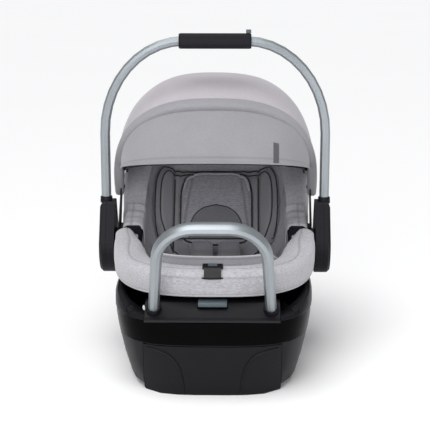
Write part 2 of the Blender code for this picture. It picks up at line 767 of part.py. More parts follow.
def bow(name, pivot, angle, half_width, radius, key="moulded_black", power=CANOPY_POWER):
    """Flat spring bow with an eyelet at each foot, bored for its pivot pin."""
    a = math.radians(angle)
    flat = Vector((0, math.cos(a), math.sin(a))) * BOW_WIDTH / 2
    rings = []
    for s in arch_shares(radius, 0.0055, 19, power):
        outer = fan_point(pivot, angle, half_width, radius, s, power)
        inner = fan_point(pivot, angle, half_width - BOW_THICKNESS, radius - BOW_THICKNESS, s, power)
        rings.append([outer + flat, outer - flat, inner - flat, inner + flat])
    strip = loft(name, rings, key)
    for side in (1, -1):
        x0, x1 = side * (half_width - BOW_THICKNESS), side * half_width
        eyelet = cylinder("eyelet", (x0, *pivot), (x1, *pivot), EYELET_RADIUS, key, 16)
        join(strip, eyelet)
    for side in (1, -1):
        span = (side * (half_width - 0.01), *pivot), (side * (half_width + 0.01), *pivot)
        cut(strip, cylinder("bore", *span, PIN_RADIUS + BORE_CLEARANCE, key, 16))
    return strip


def fan_sheet(name, pivot, angles, outer, reach, columns, thickness, key, power=CANOPY_POWER):
    """Closed cloth solid between arches; outer(angle) gives each arch's half width and radius."""
    rows = []
    for angle in angles:
        half_width, radius = outer(angle)
        shares = arch_shares(radius, reach, columns, power)
        top = [fan_point(pivot, angle, half_width, radius, s, power) for s in shares]
        low = [fan_point(pivot, angle, half_width - thickness, radius - thickness, s, power)
               for s in shares]
        rows.append(top + low[::-1])
    return loft(name, rows, key)


def canopy_size(angle):
    """Half width and radius of the dome's arch, eased from the front bow past the mid bow to the hem."""
    forward = ease((FRONT_BOW_ANGLE - angle) / (FRONT_BOW_ANGLE - MID_BOW_ANGLE))
    back = ease((MID_BOW_ANGLE - angle) / (MID_BOW_ANGLE - CANOPY_REAR_ANGLE))
    return [front + (middle - front) * forward + (rear - middle) * back
            for front, middle, rear in (CANOPY_HALF_WIDTHS, CANOPY_RADII)]


def visor_pivot():
    a = math.radians(FRONT_BOW_ANGLE)
    y, z = CANOPY_PIVOT
    return (y - VISOR_PIVOT_REACH * math.sin(a), z + VISOR_PIVOT_REACH * math.cos(a))


def build_canopy():
    front = bow("canopy_front_bow", CANOPY_PIVOT, FRONT_BOW_ANGLE, 0.1899, 0.2050)
    hinge = visor_pivot()
    for side in (1, -1):
        span = (side * 0.1700, *hinge), (side * 0.1885, *hinge)
        join(front, cylinder("visor_pin", *span, PIN_RADIUS, "steel", 16))
    mid = bow("canopy_mid_bow", CANOPY_PIVOT, MID_BOW_ANGLE, 0.1841, 0.2225)
    band = build_band()
    hang_on("canopy_axis", (0, *CANOPY_PIVOT), [front, band])
    hang_on("canopy_mid_axis", (0, *CANOPY_PIVOT), [mid])
    first = FRONT_BOW_ANGLE + 2.5
    angles = [first + (CANOPY_REAR_ANGLE - first) * i / 7 for i in range(8)]
    fan_sheet("canopy_fabric", CANOPY_PIVOT, angles, canopy_size, 0.018, 21, 0.0020,
              "canopy_cloth")


def build_band():
    """Padded edge that runs over the front bow and hangs past its feet in rounded tips."""
    a = math.radians(FRONT_BOW_ANGLE)
    y, z = CANOPY_PIVOT
    flat = Vector((0, math.cos(a), math.sin(a)))
    rings = []

    def ring(point_at, half):
        outer, inner = point_at(0.0), point_at(BAND_THICKNESS)
        return [outer + flat * half, outer - flat * half, inner - flat * half, inner + flat * half]

    for side in (1, -1):
        tip = []
        for drop, half in ((0.018, 0.005), (0.014, 0.010), (0.006, 0.0125)):
            base = Vector((0, y + drop * math.sin(a), z - drop * math.cos(a)))
            x_out = BAND_HALF_WIDTH

            def tip_point(depth, base=base, side=side, x_out=x_out):
                return base + Vector((side * (x_out - depth), 0, 0))

            tip.append(ring(tip_point, half))
        if side == 1:
            rings += tip
        else:
            arch = []
            for s in arch_shares(BAND_RADIUS, 0.006, 21):

                def arch_point(depth, s=s):
                    return fan_point(CANOPY_PIVOT, FRONT_BOW_ANGLE, BAND_HALF_WIDTH - depth,
                                     BAND_RADIUS - depth, s)

                arch.append(ring(arch_point, 0.013))
            rings += arch + tip[::-1]
    return loft("canopy_band", rings, "visor_cloth")


def build_visor():
    pivot = visor_pivot()
    edge = bow("visor_bow", pivot, VISOR_ANGLE, 0.1735, VISOR_RADIUS - 0.003)
    hang_on("visor_axis", (0, *pivot), [edge])
    angles = [39.0 + (VISOR_ANGLE - 2.4 - 39.0) * i / 4 for i in range(5)]
    fan_sheet("visor_fabric", pivot, angles, lambda angle: (VISOR_HALF_WIDTH, VISOR_RADIUS),
              0.030, 17, 0.0016, "visor_cloth")


# ---------------------------------------------------------------- base

def base_ring(z, half_width, half_length, count=40):
    unit = unit_outline(BASE_HALF_WIDTH, BASE_HALF_LENGTH, BASE_PLAN_POWER, count)
    return [(half_width * cx, BASE_CENTRE_Y + half_length * cy, z) for cx, cy in unit]


def base_half_sizes(z):
    """The base's taper: half width and half length of its outer face at a height."""
    t = (z - BASE_BOTTOM_Z) / (BASE_TOP_Z - BASE_BOTTOM_Z)
    bulge = math.sin(math.pi * min(max(t, 0), 1)) * 0.004
    return 0.153 + (BASE_HALF_WIDTH - 0.153) * t + bulge, 0.232 + (BASE_HALF_LENGTH - 0.232) * t


def build_base_shell():
    """Tray with sloping walls; its front upper wall steps in behind the gloss skirt."""
    rings = []
    for z in (BASE_BOTTOM_Z, BASE_BOTTOM_Z + 0.004, 0.050, BASE_RIDGE_Z):
        half_width, half_length = base_half_sizes(z)
        trim = 0.003 if z == BASE_BOTTOM_Z else 0.0
        rings.append(base_ring(z, half_width - trim, half_length - trim))
    step = 0.005
    for z in (BASE_RIDGE_Z + 0.0002, BASE_TOP_Z):
        half_width, half_length = base_half_sizes(z)
        rings.append(base_ring(z, half_width - step, half_length - step))
    for z in (BASE_TOP_Z, BASE_BOTTOM_Z + BASE_WALL):
        half_width, half_length = base_half_sizes(z)
        inset = step + BASE_WALL
        rings.append(base_ring(z, half_width - inset, half_length - inset))
    tray = loft("base_shell", rings, "moulded_black")
    for y in (0.1071, 0.1384):
        join(tray, box("hinge_post", (0.1166, y, BASE_BOTTOM_Z + BASE_WALL - 0.001),
                       (0.1256, y + 0.005, 0.0445), "moulded_black"))
    window = box("window", (-RECLINE_HALF_WIDTH - 0.0006, -0.40, -0.01),
                 (RECLINE_HALF_WIDTH + 0.0006, RECLINE_BACK_Y + 0.0006, RECLINE_TOP_Z + 0.0015),
                 "moulded_black")
    cut(tray, window)
    for side in (1, -1):
        slot_x = sorted((side * 0.130, side * 0.200))
        cut(tray, box("belt_slot", (slot_x[0], 0.080, 0.030), (slot_x[1], 0.128, 0.052), "steel"))
        socket_x = sorted((side * 0.086, side * 0.1205))
        cut(tray, box("socket_room", (socket_x[0], -0.40, 0.108), (socket_x[1], -0.20, 0.2),
                      "steel"))
    return tray


def wall_band(name, z_levels, share, stations, thickness, key, top_inset=0.0):
    """A skin on the outside of the tray round the foot end, between two heights."""
    path = half_outline(BASE_HALF_WIDTH, BASE_HALF_LENGTH, BASE_PLAN_POWER, share, stations)
    rings = []
    for cx, cy in path:
        outer, inner = [], []
        for z in z_levels:
            half_width, half_length = base_half_sizes(z)
            trim = top_inset if z == z_levels[-1] else 0.0
            outer.append(((half_width - trim) * cx,
                          BASE_CENTRE_Y + (half_length - trim) * cy, z))
            inner.append(((half_width - thickness) * cx,
                          BASE_CENTRE_Y + (half_length - thickness) * cy, z))
        rings.append(outer + inner[::-1])
    return loft(name, rings, key)


def build_skirt():
    levels = (BASE_RIDGE_Z + 0.0006, 0.110, 0.125, BASE_TOP_Z - 0.0004)
    return wall_band("front_skirt", levels, -0.55, 30, 0.0045, "gloss_black", top_inset=0.001)


def build_side_skirts():
    """The ear covers: broad rounded caps along each side, sweeping down to the console."""
    crest = smooth_curve([(-0.290, 0.1415), (-0.255, 0.146), (-0.200, 0.159), (-0.120, 0.163),
                          (0.100, 0.163), (0.190, 0.150), (0.212, 0.142)])
    reach = smooth_curve([(-0.290, 0.062), (-0.255, 0.050), (-0.200, 0.026), (-0.120, 0.020),
                          (0.150, 0.020), (0.210, 0.026)])
    dense = unit_outline(BASE_HALF_WIDTH, BASE_HALF_LENGTH, BASE_PLAN_POWER, 720)
    share_x = CONSOLE_HALF_WIDTH / BASE_HALF_WIDTH
    run = [p for p in dense if p[0] > 0 and (p[1] > 0 or p[0] > share_x + 0.006)]
    run = [p for p in run if p[1] < 0 or p[0] > 0.05]
    run.sort(key=lambda p: math.atan2(p[1], p[0]))
    rings = []
    for cx, cy in resample(run, 22):
        x, y = BASE_HALF_WIDTH * cx, BASE_CENTRE_Y + BASE_HALF_LENGTH * cy
        top, depth = crest(y), reach(y)
        slope = (signed_power(cx, BASE_PLAN_POWER - 1) / BASE_HALF_WIDTH,
                 signed_power(cy, BASE_PLAN_POWER - 1) / BASE_HALF_LENGTH)
        normal = Vector((-slope[0], -slope[1])).normalized()
        if y < BASE_CENTRE_Y:
            turn = min(max((x - 0.121) / 0.045, 0.0), 1.0)
            normal = Vector((0, 1)).lerp(normal, turn).normalized()
        base_z = BASE_TOP_Z + GAP
        ring = []
        for inward, z in ((0.0, base_z), (0.0003, top - 0.008), (0.004, top - 0.0015),
                          (0.010, top), (depth * 0.75, top - 0.002), (depth, top - 0.009),
                          (depth, base_z)):
            ring.append((x + normal.x * inward, y + normal.y * inward, max(z, base_z)))
        rings.append(ring)
    ear = loft("ear_cover_right", rings, "moulded_black")
    mirrored(ear, "ear_cover_left")


def build_console():
    crest_y, crest_z = CONSOLE_CREST
    outline = [(-0.2820, 0.1375), (-0.2808, 0.1410), (-0.2740, 0.1440), (crest_y - 0.004, 0.1622),
               (crest_y + 0.002, crest_z), (-0.2225, crest_z), (-0.2205, crest_z - 0.002),
               (-0.2205, 0.118), (-0.2255, 0.118), (-0.2255, 0.157), (crest_y, 0.157),
               (-0.2715, 0.1385), (-0.2760, 0.1375)]
    console = side_plate("front_console", outline, -CONSOLE_HALF_WIDTH, CONSOLE_HALF_WIDTH,
                         "moulded_black")
    for side in (1, -1):
        cut(console, bar_plug("hole", side, -0.05, 0.05, SOCKET_WALL + GAP))
    cut(console, box("tab_slot", (-0.0265, -0.262, 0.1545), (0.0265, -0.232, 0.180), "steel"))
    tab = box("recline_lever", (-0.0255, -0.2600, 0.1580), (0.0255, -0.2330, 0.1665),
              "slate_plastic", bevel=0.002)
    hang_on("recline_lever_axis", (0, -0.247, 0.162), [tab])


def bar_point(x, v):
    """A point in the bar's leaning plane: x across, v up along the lean from the foot."""
    return Vector((x, BAR_FOOT_Y - v * math.sin(BAR_LEAN), BAR_FOOT_Z + v * math.cos(BAR_LEAN)))


def bar_plug(name, side, v0, v1, grow):
    """An oval plug on a bar leg's line, for sockets and their holes."""
    normal = Vector((0, math.cos(BAR_LEAN), math.sin(BAR_LEAN)))
    rings = []
    for v in (v0, v1):
        centre = bar_point(side * bar_leg_x(v), v)
        ring = []
        for j in range(20):
            a = 2 * math.pi * j / 20
            ring.append(centre + Vector((1, 0, 0)) * (BAR_RADII[0] + grow) * math.cos(a)
                        + normal * (BAR_RADII[1] + grow) * math.sin(a))
        rings.append(ring)
    return loft(name, rings, "moulded_black")


def bar_leg_x(v):
    top = BAR_TOP_V - BAR_BEND_RADIUS
    return BAR_FOOT_X + (BAR_LEG_X - BAR_FOOT_X) * v / top


def build_bar():
    """Anti-rebound bar: an oval tube bent to a U, its feet in two sockets."""
    bend_v = BAR_TOP_V - BAR_BEND_RADIUS
    right = [(bar_leg_x(v), v) for v in (-BAR_SOCKET_DEPTH + 0.0005, 0.0, 0.5 * bend_v)]
    for i in range(9):
        a = 0.5 * math.pi * i / 8
        right.append((BAR_TOP_X + BAR_BEND_RADIUS * math.cos(a),
                      bend_v + BAR_BEND_RADIUS * math.sin(a)))
    path = [bar_point(x, v) for x, v in right + [(-x, v) for x, v in right[::-1]]]
    normal = (0, math.cos(BAR_LEAN), math.sin(BAR_LEAN))
    swept_tube("arb_tube", path, normal, BAR_RADII, BAR_WALL, "satin_silver")
    socket = bar_plug("arb_socket_right", 1, -0.036, 0.002, SOCKET_WALL)
    cut(socket, bar_plug("bore", 1, -BAR_SOCKET_DEPTH - 0.0015, 0.02, GAP + 0.0003))
    mirrored(socket, "arb_socket_left")


def build_recline_foot():
    """Foot that drops from the front of the base to tilt it: an open box with a shaped face."""
    face = [RECLINE_HALF_WIDTH * (1 - 2 * i / 8) for i in range(9)]
    rings = []
    for z in (0.0, 0.004, RECLINE_TOP_Z):
        half_width, half_length = base_half_sizes(max(z, BASE_BOTTOM_Z))
        side = RECLINE_HALF_WIDTH - (0.003 if z == 0.0 else 0.0)
        ring = []
        for x in face:
            share = min(abs(x) / half_width, 1)
            reach = half_length * (1 - share**BASE_PLAN_POWER) ** (1 / BASE_PLAN_POWER)
            ring.append((min(max(x, -side), side), BASE_CENTRE_Y - reach, z))
        ring += [(-side, RECLINE_BACK_Y, z), (side, RECLINE_BACK_Y, z)]
        rings.append(ring)
    foot = loft("recline_foot", rings, "moulded_black")
    hollow = box("hollow", (-RECLINE_HALF_WIDTH + 0.004, -0.236, 0.006),
                 (RECLINE_HALF_WIDTH - 0.004, RECLINE_BACK_Y - 0.004, 0.2), "steel")
    cut(foot, hollow)
    cut(foot, box("front_hollow", (-0.085, -0.258, 0.006), (0.085, -0.230, 0.2), "steel"))
    hang_on("recline_axis", (0, -0.24, 0.0), [foot])
    return foot


def build_cradle():
    """Rails that carry the bowl, the two steel bars that its hooks hold, and the anchor belt."""
    rings = []
    for i in range(8):
        y = -0.120 + 0.230 * i / 7
        tops = [bowl_height(x, y, 0.0) - 0.0020 for x in (0.066, 0.075, 0.084)]
        low = BASE_BOTTOM_Z + BASE_WALL + GAP
        rings.append([(0.066, y, low), (0.084, y, low), (0.084, y, tops[2]),
                      (0.075, y, tops[1]), (0.066, y, tops[0])])
    rail = loft("cradle", rings, "moulded_black")
    join(rail, mirrored(rail, "other_rail"))
    low = BASE_BOTTOM_Z + BASE_WALL + GAP
    for y in (-0.117, 0.090):
        join(rail, box("crossbar", (-0.070, y, low), (0.070, y + 0.012, low + 0.020), "steel"))
    for name, y, z in (("front_latch_bar", -0.098, 0.075), ("rear_latch_bar", 0.100, 0.088)):
        cylinder(name, (-0.0655, y, z), (0.0655, y, z), 0.005, "steel", 16)


def build_anchor_belt():
    floor = BASE_BOTTOM_Z + BASE_WALL
    strap("anchor_belt", [(-0.075, 0.130, floor + 0.004), (0.0, 0.130, floor + 0.004),
                          (0.075, 0.130, floor + 0.004)], 0.028, 0.0016, "webbing",
          across=(0, 1, 0), stations=3)
    hook = box("anchor_connector_right", (0.0765, 0.115, floor + 0.001),
               (0.116, 0.143, floor + 0.015), "steel", bevel=0.003)
    mirrored(hook, "anchor_connector_left")


def build_lockoff():
    """Clamp arm that pins the vehicle belt, hinged at its outer end."""
    arm = box("lockoff_arm", (0.020, 0.1125, 0.034), (0.122, 0.138, 0.040), "slate_plastic",
              bevel=0.0015)
    hang_on("lockoff_axis", (0.119, 0.125, 0.037), [arm])


def build_feet():
    plate = box("underside_plate", (-UNDERSIDE_HALF_WIDTH, -0.195, 0.0),
                (UNDERSIDE_HALF_WIDTH, 0.170, BASE_BOTTOM_Z - GAP), "moulded_black", bevel=0.001)
    pad = box("rubber_foot_right", (0.117, -0.175, 0.0), (0.141, 0.140, BASE_BOTTOM_Z - GAP),
              "rubber")
    mirrored(pad, "rubber_foot_left")
    return plate


def main():
    clear_scene()
    build_feet()
    build_base_shell()
    build_skirt()
    build_side_skirts()
    build_console()
    build_bar()
    build_recline_foot()
    build_cradle()
    build_anchor_belt()
    build_lockoff()
    build_bowl()
    build_cushions()
    build_harness()
    build_buckle()
    build_adjuster()
    build_handle_mounts()
    build_belt_guides()
    build_canopy_brackets()
    build_release()
    build_handle()
    build_canopy()
    build_visor()


main()
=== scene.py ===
"""Infant car seat: fabrics, finishes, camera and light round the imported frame."""

import math

import bpy
import bmesh
import numpy as np
from mathutils import Matrix, Vector, noise
from mathutils.bvhtree import BVHTree


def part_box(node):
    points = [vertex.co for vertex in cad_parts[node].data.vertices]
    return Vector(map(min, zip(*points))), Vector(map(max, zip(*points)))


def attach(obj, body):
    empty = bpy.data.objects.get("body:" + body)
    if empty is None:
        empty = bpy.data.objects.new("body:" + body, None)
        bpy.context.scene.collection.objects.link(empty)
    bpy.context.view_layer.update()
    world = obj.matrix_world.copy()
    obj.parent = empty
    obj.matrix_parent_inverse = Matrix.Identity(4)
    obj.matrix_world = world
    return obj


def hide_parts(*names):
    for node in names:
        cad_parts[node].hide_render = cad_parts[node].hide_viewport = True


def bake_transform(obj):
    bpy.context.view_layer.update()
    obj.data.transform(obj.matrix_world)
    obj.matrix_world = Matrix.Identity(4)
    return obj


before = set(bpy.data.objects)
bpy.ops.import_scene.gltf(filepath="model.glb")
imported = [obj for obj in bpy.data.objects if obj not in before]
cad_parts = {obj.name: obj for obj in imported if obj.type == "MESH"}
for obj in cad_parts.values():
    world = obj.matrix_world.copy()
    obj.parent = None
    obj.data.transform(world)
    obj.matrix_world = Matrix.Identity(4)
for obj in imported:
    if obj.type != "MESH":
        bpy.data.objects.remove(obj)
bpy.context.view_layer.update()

# Sizes in metres, in the frame's axes: +Y to the head end, +Z up.
SHELL_HALF_WIDTH = 0.172
SHELL_FRONT_Y = -0.230
SHELL_BACK_Y = 0.272
SHELL_PLAN_POWER = 3.0
BOWL_POWER = 2.3
LINER_DEPTH = 0.0208
RIM_POINTS = [
    (-0.250, 0.209), (-0.150, 0.213), (-0.060, 0.221), (0.000, 0.230), (0.050, 0.246),
    (0.120, 0.298), (0.200, 0.349), (0.290, 0.376),
]
FLOOR_POINTS = [
    (-0.230, 0.175), (-0.150, 0.106), (-0.060, 0.074), (0.050, 0.074), (0.120, 0.112),
    (0.200, 0.197), (0.272, 0.300),
]
FLOOR_RAISE = 1.3
SHELL_CENTRE_Y = (SHELL_FRONT_Y + SHELL_BACK_Y) / 2
SHELL_HALF_LENGTH = (SHELL_BACK_Y - SHELL_FRONT_Y) / 2

CANOPY_PIVOT = (0.070, 0.305)
CANOPY_POWER = 2.6
FRONT_BOW_ANGLE = 31.0
MID_BOW_ANGLE = -20.0
REAR_ANGLE = -62.0
CANOPY_HALF_WIDTHS = (0.1953, 0.1957, 0.1930)
CANOPY_RADII = (0.2113, 0.2268, 0.2400)
CANOPY_HEM_ANGLE = -77.0
BAND_HALF_WIDTH = 0.1995
BAND_RADIUS = 0.2155
VISOR_REACH = 0.047
VISOR_HALF_WIDTH = 0.1830
VISOR_RADIUS = 0.157
VISOR_ANGLES = (27.0, 75.5)
TAG_ANGLE = 59.5

SIDES = ((1, "right"), (-1, "left"))
HANDLE_PIVOT = (0.010, 0.205)
TUBE_X = 0.210
BOLSTER_X = 0.0865
VIEW_ELEVATION = 13.0
SHARP_ANGLE = math.radians(35)

# Radiance of the surroundings, irradiance of the sky lamp, and power of the soft boxes
WORLD_LIGHT = 0.40
SKY_LIGHT = 2.0
KEY_LIGHT = 34.0
FILL_LIGHT = 8.0


# ---------------------------------------------------------------- curves and meshes

def smooth_curve(points):
    """Monotone cubic through (position, value) points."""
    xs = np.array([p[0] for p in points])
    ys = np.array([p[1] for p in points])
    steps = np.diff(xs)
    slopes = np.diff(ys) / steps
    tangents = np.zeros(len(xs))
    tangents[0], tangents[-1] = slopes[0], slopes[-1]
    for i in range(1, len(xs) - 1):
        if slopes[i - 1] * slopes[i] > 0:
            tangents[i] = 2 / (1 / slopes[i - 1] + 1 / slopes[i])

    def value(x):
        x = min(max(x, xs[0]), xs[-1])
        i = min(int(np.searchsorted(xs, x, side="right")) - 1, len(steps) - 1)
        t = (x - xs[i]) / steps[i]
        return (
            (2 * t**3 - 3 * t**2 + 1) * ys[i] + (t**3 - 2 * t**2 + t) * steps[i] * tangents[i]
            + (3 * t**2 - 2 * t**3) * ys[i + 1] + (t**3 - t**2) * steps[i] * tangents[i + 1]
        )

    return value


rim_height = smooth_curve(RIM_POINTS)
floor_height = smooth_curve(FLOOR_POINTS)


def signed_power(value, power):
    return math.copysign(abs(value) ** power, value)


def ease(t):
    t = min(max(t, 0.0), 1.0)
    return t * t * (3 - 2 * t)


def resample(points, count):
    pts = np.array(points, float)
    lengths = np.concatenate([[0], np.cumsum(np.linalg.norm(np.diff(pts, axis=0), axis=1))])
    stops = np.linspace(0, lengths[-1], count)
    return [tuple(np.interp(s, lengths, pts[:, i]) for i in range(pts.shape[1])) for s in stops]


def spline(points, per_span=8):
    """Catmull-Rom curve through points."""
    pts = [np.array(p, float) for p in points]
    pts = [2 * pts[0] - pts[1]] + pts + [2 * pts[-1] - pts[-2]]
    curve = []
    for i in range(1, len(pts) - 2):
        p0, p1, p2, p3 = pts[i - 1:i + 3]
        for j in range(per_span):
            t = j / per_span
            curve.append(
                0.5 * (2 * p1 + (p2 - p0) * t + (2 * p0 - 5 * p1 + 4 * p2 - p3) * t**2
                       + (3 * p1 - p0 - 3 * p2 + p3) * t**3)
            )
    curve.append(pts[-2])
    return curve


def add_mesh(name, verts, faces, material, seam=None):
    """A smooth-shaded object; seam is a 0..1 value for each vertex, read by the fabrics."""
    mesh = bpy.data.meshes.new(name)
    mesh.from_pydata([tuple(v) for v in verts], [], faces)
    mesh.update()
    bm = bmesh.new()
    bm.from_mesh(mesh)
    bmesh.ops.recalc_face_normals(bm, faces=bm.faces)
    bm.to_mesh(mesh)
    bm.free()
    attribute = mesh.attributes.new("seam", "FLOAT", "POINT")
    attribute.data.foreach_set("value", [0.0] * len(verts) if seam is None else seam)
    mesh.polygons.foreach_set("use_smooth", [True] * len(mesh.polygons))
    mesh.materials.append(material)
    obj = bpy.data.objects.new(name, mesh)
    bpy.context.scene.collection.objects.link(obj)
    return obj


def grid(name, rows, material, wrap=False, caps=False, seam=None):
    """A surface through equal rows of points.

    wrap joins each row's ends, and caps fills the first and last rows.
    """
    count = len(rows[0])
    verts = [p for row in rows for p in row]
    faces = []
    for j in range(len(rows) - 1):
        for i in range(count if wrap else count - 1):
            k = (i + 1) % count
            faces.append((j * count + i, j * count + k, (j + 1) * count + k, (j + 1) * count + i))
    if caps:
        faces.append(tuple(range(count))[::-1])
        faces.append(tuple((len(rows) - 1) * count + i for i in range(count)))
    return add_mesh(name, verts, faces, material, seam)


def thicken(obj, thickness, offset=-1.0):
    modifier = obj.modifiers.new("cloth thickness", "SOLIDIFY")
    modifier.thickness = thickness
    modifier.offset = offset
    return obj


def apply_modifiers(obj):
    depsgraph = bpy.context.evaluated_depsgraph_get()
    depsgraph.update()
    mesh = bpy.data.meshes.new_from_object(obj.evaluated_get(depsgraph))
    obj.modifiers.clear()
    obj.data = mesh
    return obj


def tube(name, points, radius, material, sides=8, closed=False, flat=1.0, up=(0, 0, 1)):
    """Piping or a rod along points; flat scales it across up."""
    pts = [Vector(p) for p in points]
    count = len(pts)
    rows = []
    for i, p in enumerate(pts):
        if closed:
            ahead = pts[(i + 1) % count] - pts[i - 1]
        else:
            ahead = pts[min(i + 1, count - 1)] - pts[max(i - 1, 0)]
        ahead.normalize()
        side = ahead.cross(Vector(up))
        side = side.normalized() if side.length > 1e-6 else ahead.orthogonal().normalized()
        top = side.cross(ahead).normalized()
        taper = 1.0 if closed else min(1.0, (min(i, count - 1 - i) + 0.35) / 1.2)
        rows.append([p + (side * math.cos(a) + top * math.sin(a) * flat) * radius * taper
                     for a in (2 * math.pi * k / sides for k in range(sides))])
    if closed:
        rows.append(rows[0])
    return grid(name, rows, material, wrap=True, caps=not closed)


def sweep(name, path, across, half_width, half_height, material, power=2.5, sides=28, dome=0.008,
          seam_at=None):
    """A soft flat bar along a path: superellipse sections, domed at both ends."""
    pts = [Vector(p) for p in path]
    across = Vector(across).normalized()
    lengths = [0.0]
    for a, b in zip(pts, pts[1:]):
        lengths.append(lengths[-1] + (b - a).length)
    rows, seam = [], []
    for i, p in enumerate(pts):
        ahead = (pts[min(i + 1, len(pts) - 1)] - pts[max(i - 1, 0)]).normalized()
        up = across.cross(ahead).normalized()
        end = min(lengths[i], lengths[-1] - lengths[i])
        round_off = math.sqrt(1 - max(0.0, 1 - (end + 0.02 * dome) / dome) ** 2)
        ring = []
        for k in range(sides):
            t = 2 * math.pi * k / sides
            u = signed_power(math.cos(t), 2 / power)
            v = signed_power(math.sin(t), 2 / power)
            wide = half_width - dome * 0.6 * (1 - round_off)
            mark = bell(abs(u), seam_at, 0.05) if seam_at and v > 0.3 else 0.0
            tall = half_height * round_off * (1 - 0.16 * mark)
            ring.append(p + across * wide * u + up * tall * v)
            seam.append(0.5 * mark)
        rows.append(ring)
    return grid(name, rows, material, wrap=True, caps=True, seam=seam)


def circle(centre, radius, axis, count):
    """Points round a centre, in the plane across X or Z."""
    cx, cy, cz = centre
    turns = [2 * math.pi * k / count for k in range(count)]
    if axis == "X":
        return [(cx, cy + radius * math.cos(a), cz + radius * math.sin(a)) for a in turns]
    return [(cx + radius * math.cos(a), cy + radius * math.sin(a), cz) for a in turns]


def bell(value, centre, width):
    return math.exp(-((value - centre) / width) ** 2)


def surface_of(*objects):
    """A tree of the objects' final faces, for laying seams and patches on them."""
    depsgraph = bpy.context.evaluated_depsgraph_get()
    depsgraph.update()
    bm = bmesh.new()
    for obj in objects:
        mesh = bpy.data.meshes.new_from_object(obj.evaluated_get(depsgraph))
        mesh.transform(obj.matrix_world)
        bm.from_mesh(mesh)
        bpy.data.meshes.remove(mesh)
    tree = BVHTree.FromBMesh(bm)
    bm.free()
    return tree


def drop_on(tree, points, direction=(0, 0, -1), lift=0.0, start=0.3):
    """Projects points along a direction onto a tree, and lifts them off it."""
    along = Vector(direction).normalized()
    landed = []
    for p in points:
        hit, normal, _, _ = tree.ray_cast(Vector(p) - along * start, along, 2 * start)
        if hit is not None:
            if normal.dot(along) > 0:
                normal = -normal
            landed.append(hit + normal * lift)
    return landed


# ---------------------------------------------------------------- materials

def new_material(name, color, **sockets):
    material = bpy.data.materials.new(name)
    material.use_nodes = True
    shader = material.node_tree.nodes["Principled BSDF"]
    shader.inputs["Base Color"].default_value = (*color, 1)
    for key, value in sockets.items():
        shader.inputs[key.replace("_", " ")].default_value = value
    return material, material.node_tree.nodes, material.node_tree.links, shader


def place_texture(nodes, links, scale):
    coords = nodes.new("ShaderNodeTexCoord")
    mapping = nodes.new("ShaderNodeMapping")
    mapping.inputs["Scale"].default_value = scale
    links.new(coords.outputs["Object"], mapping.inputs["Vector"])
    return mapping.outputs["Vector"]


def noise_texture(nodes, links, scale, detail=3.0, roughness=0.55):
    texture = nodes.new("ShaderNodeTexNoise")
    texture.inputs["Scale"].default_value = 1.0
    texture.inputs["Detail"].default_value = detail
    texture.inputs["Roughness"].default_value = roughness
    links.new(place_texture(nodes, links, scale), texture.inputs["Vector"])
    return texture.outputs["Fac"]


def ramp(nodes, links, source, stops):
    node = nodes.new("ShaderNodeValToRGB")
    elements = node.color_ramp.elements
    while len(elements) < len(stops):
        elements.new(0.5)
    for element, (place, color) in zip(elements, stops):
        element.position = place
        element.color = (*color, 1)
    links.new(source, node.inputs["Fac"])
    return node.outputs["Color"]


def mix(nodes, links, kind, factor, a, b):
    node = nodes.new("ShaderNodeMix")
    node.data_type = "RGBA"
    node.blend_type = kind
    for socket, value in ((node.inputs[0], factor), (node.inputs[6], a), (node.inputs[7], b)):
        if isinstance(value, (int, float)):
            socket.default_value = value
        elif isinstance(value, tuple):
            socket.default_value = (*value, 1)
        else:
            links.new(value, socket)
    return node.outputs[2]


def add_bump(nodes, links, shader, height, distance, strength=1.0):
    bump = nodes.new("ShaderNodeBump")
    bump.inputs["Strength"].default_value = strength
    bump.inputs["Distance"].default_value = distance
    links.new(height, bump.inputs["Height"])
    links.new(bump.outputs["Normal"], shader.inputs["Normal"])


def vary_roughness(nodes, links, shader, source, low, high):
    rough = nodes.new("ShaderNodeMapRange")
    rough.inputs["To Min"].default_value = low
    rough.inputs["To Max"].default_value = high
    links.new(source, rough.inputs["Value"])
    links.new(rough.outputs["Result"], shader.inputs["Roughness"])


def scaled(color, factor):
    return tuple(min(c * factor, 1.0) for c in color)


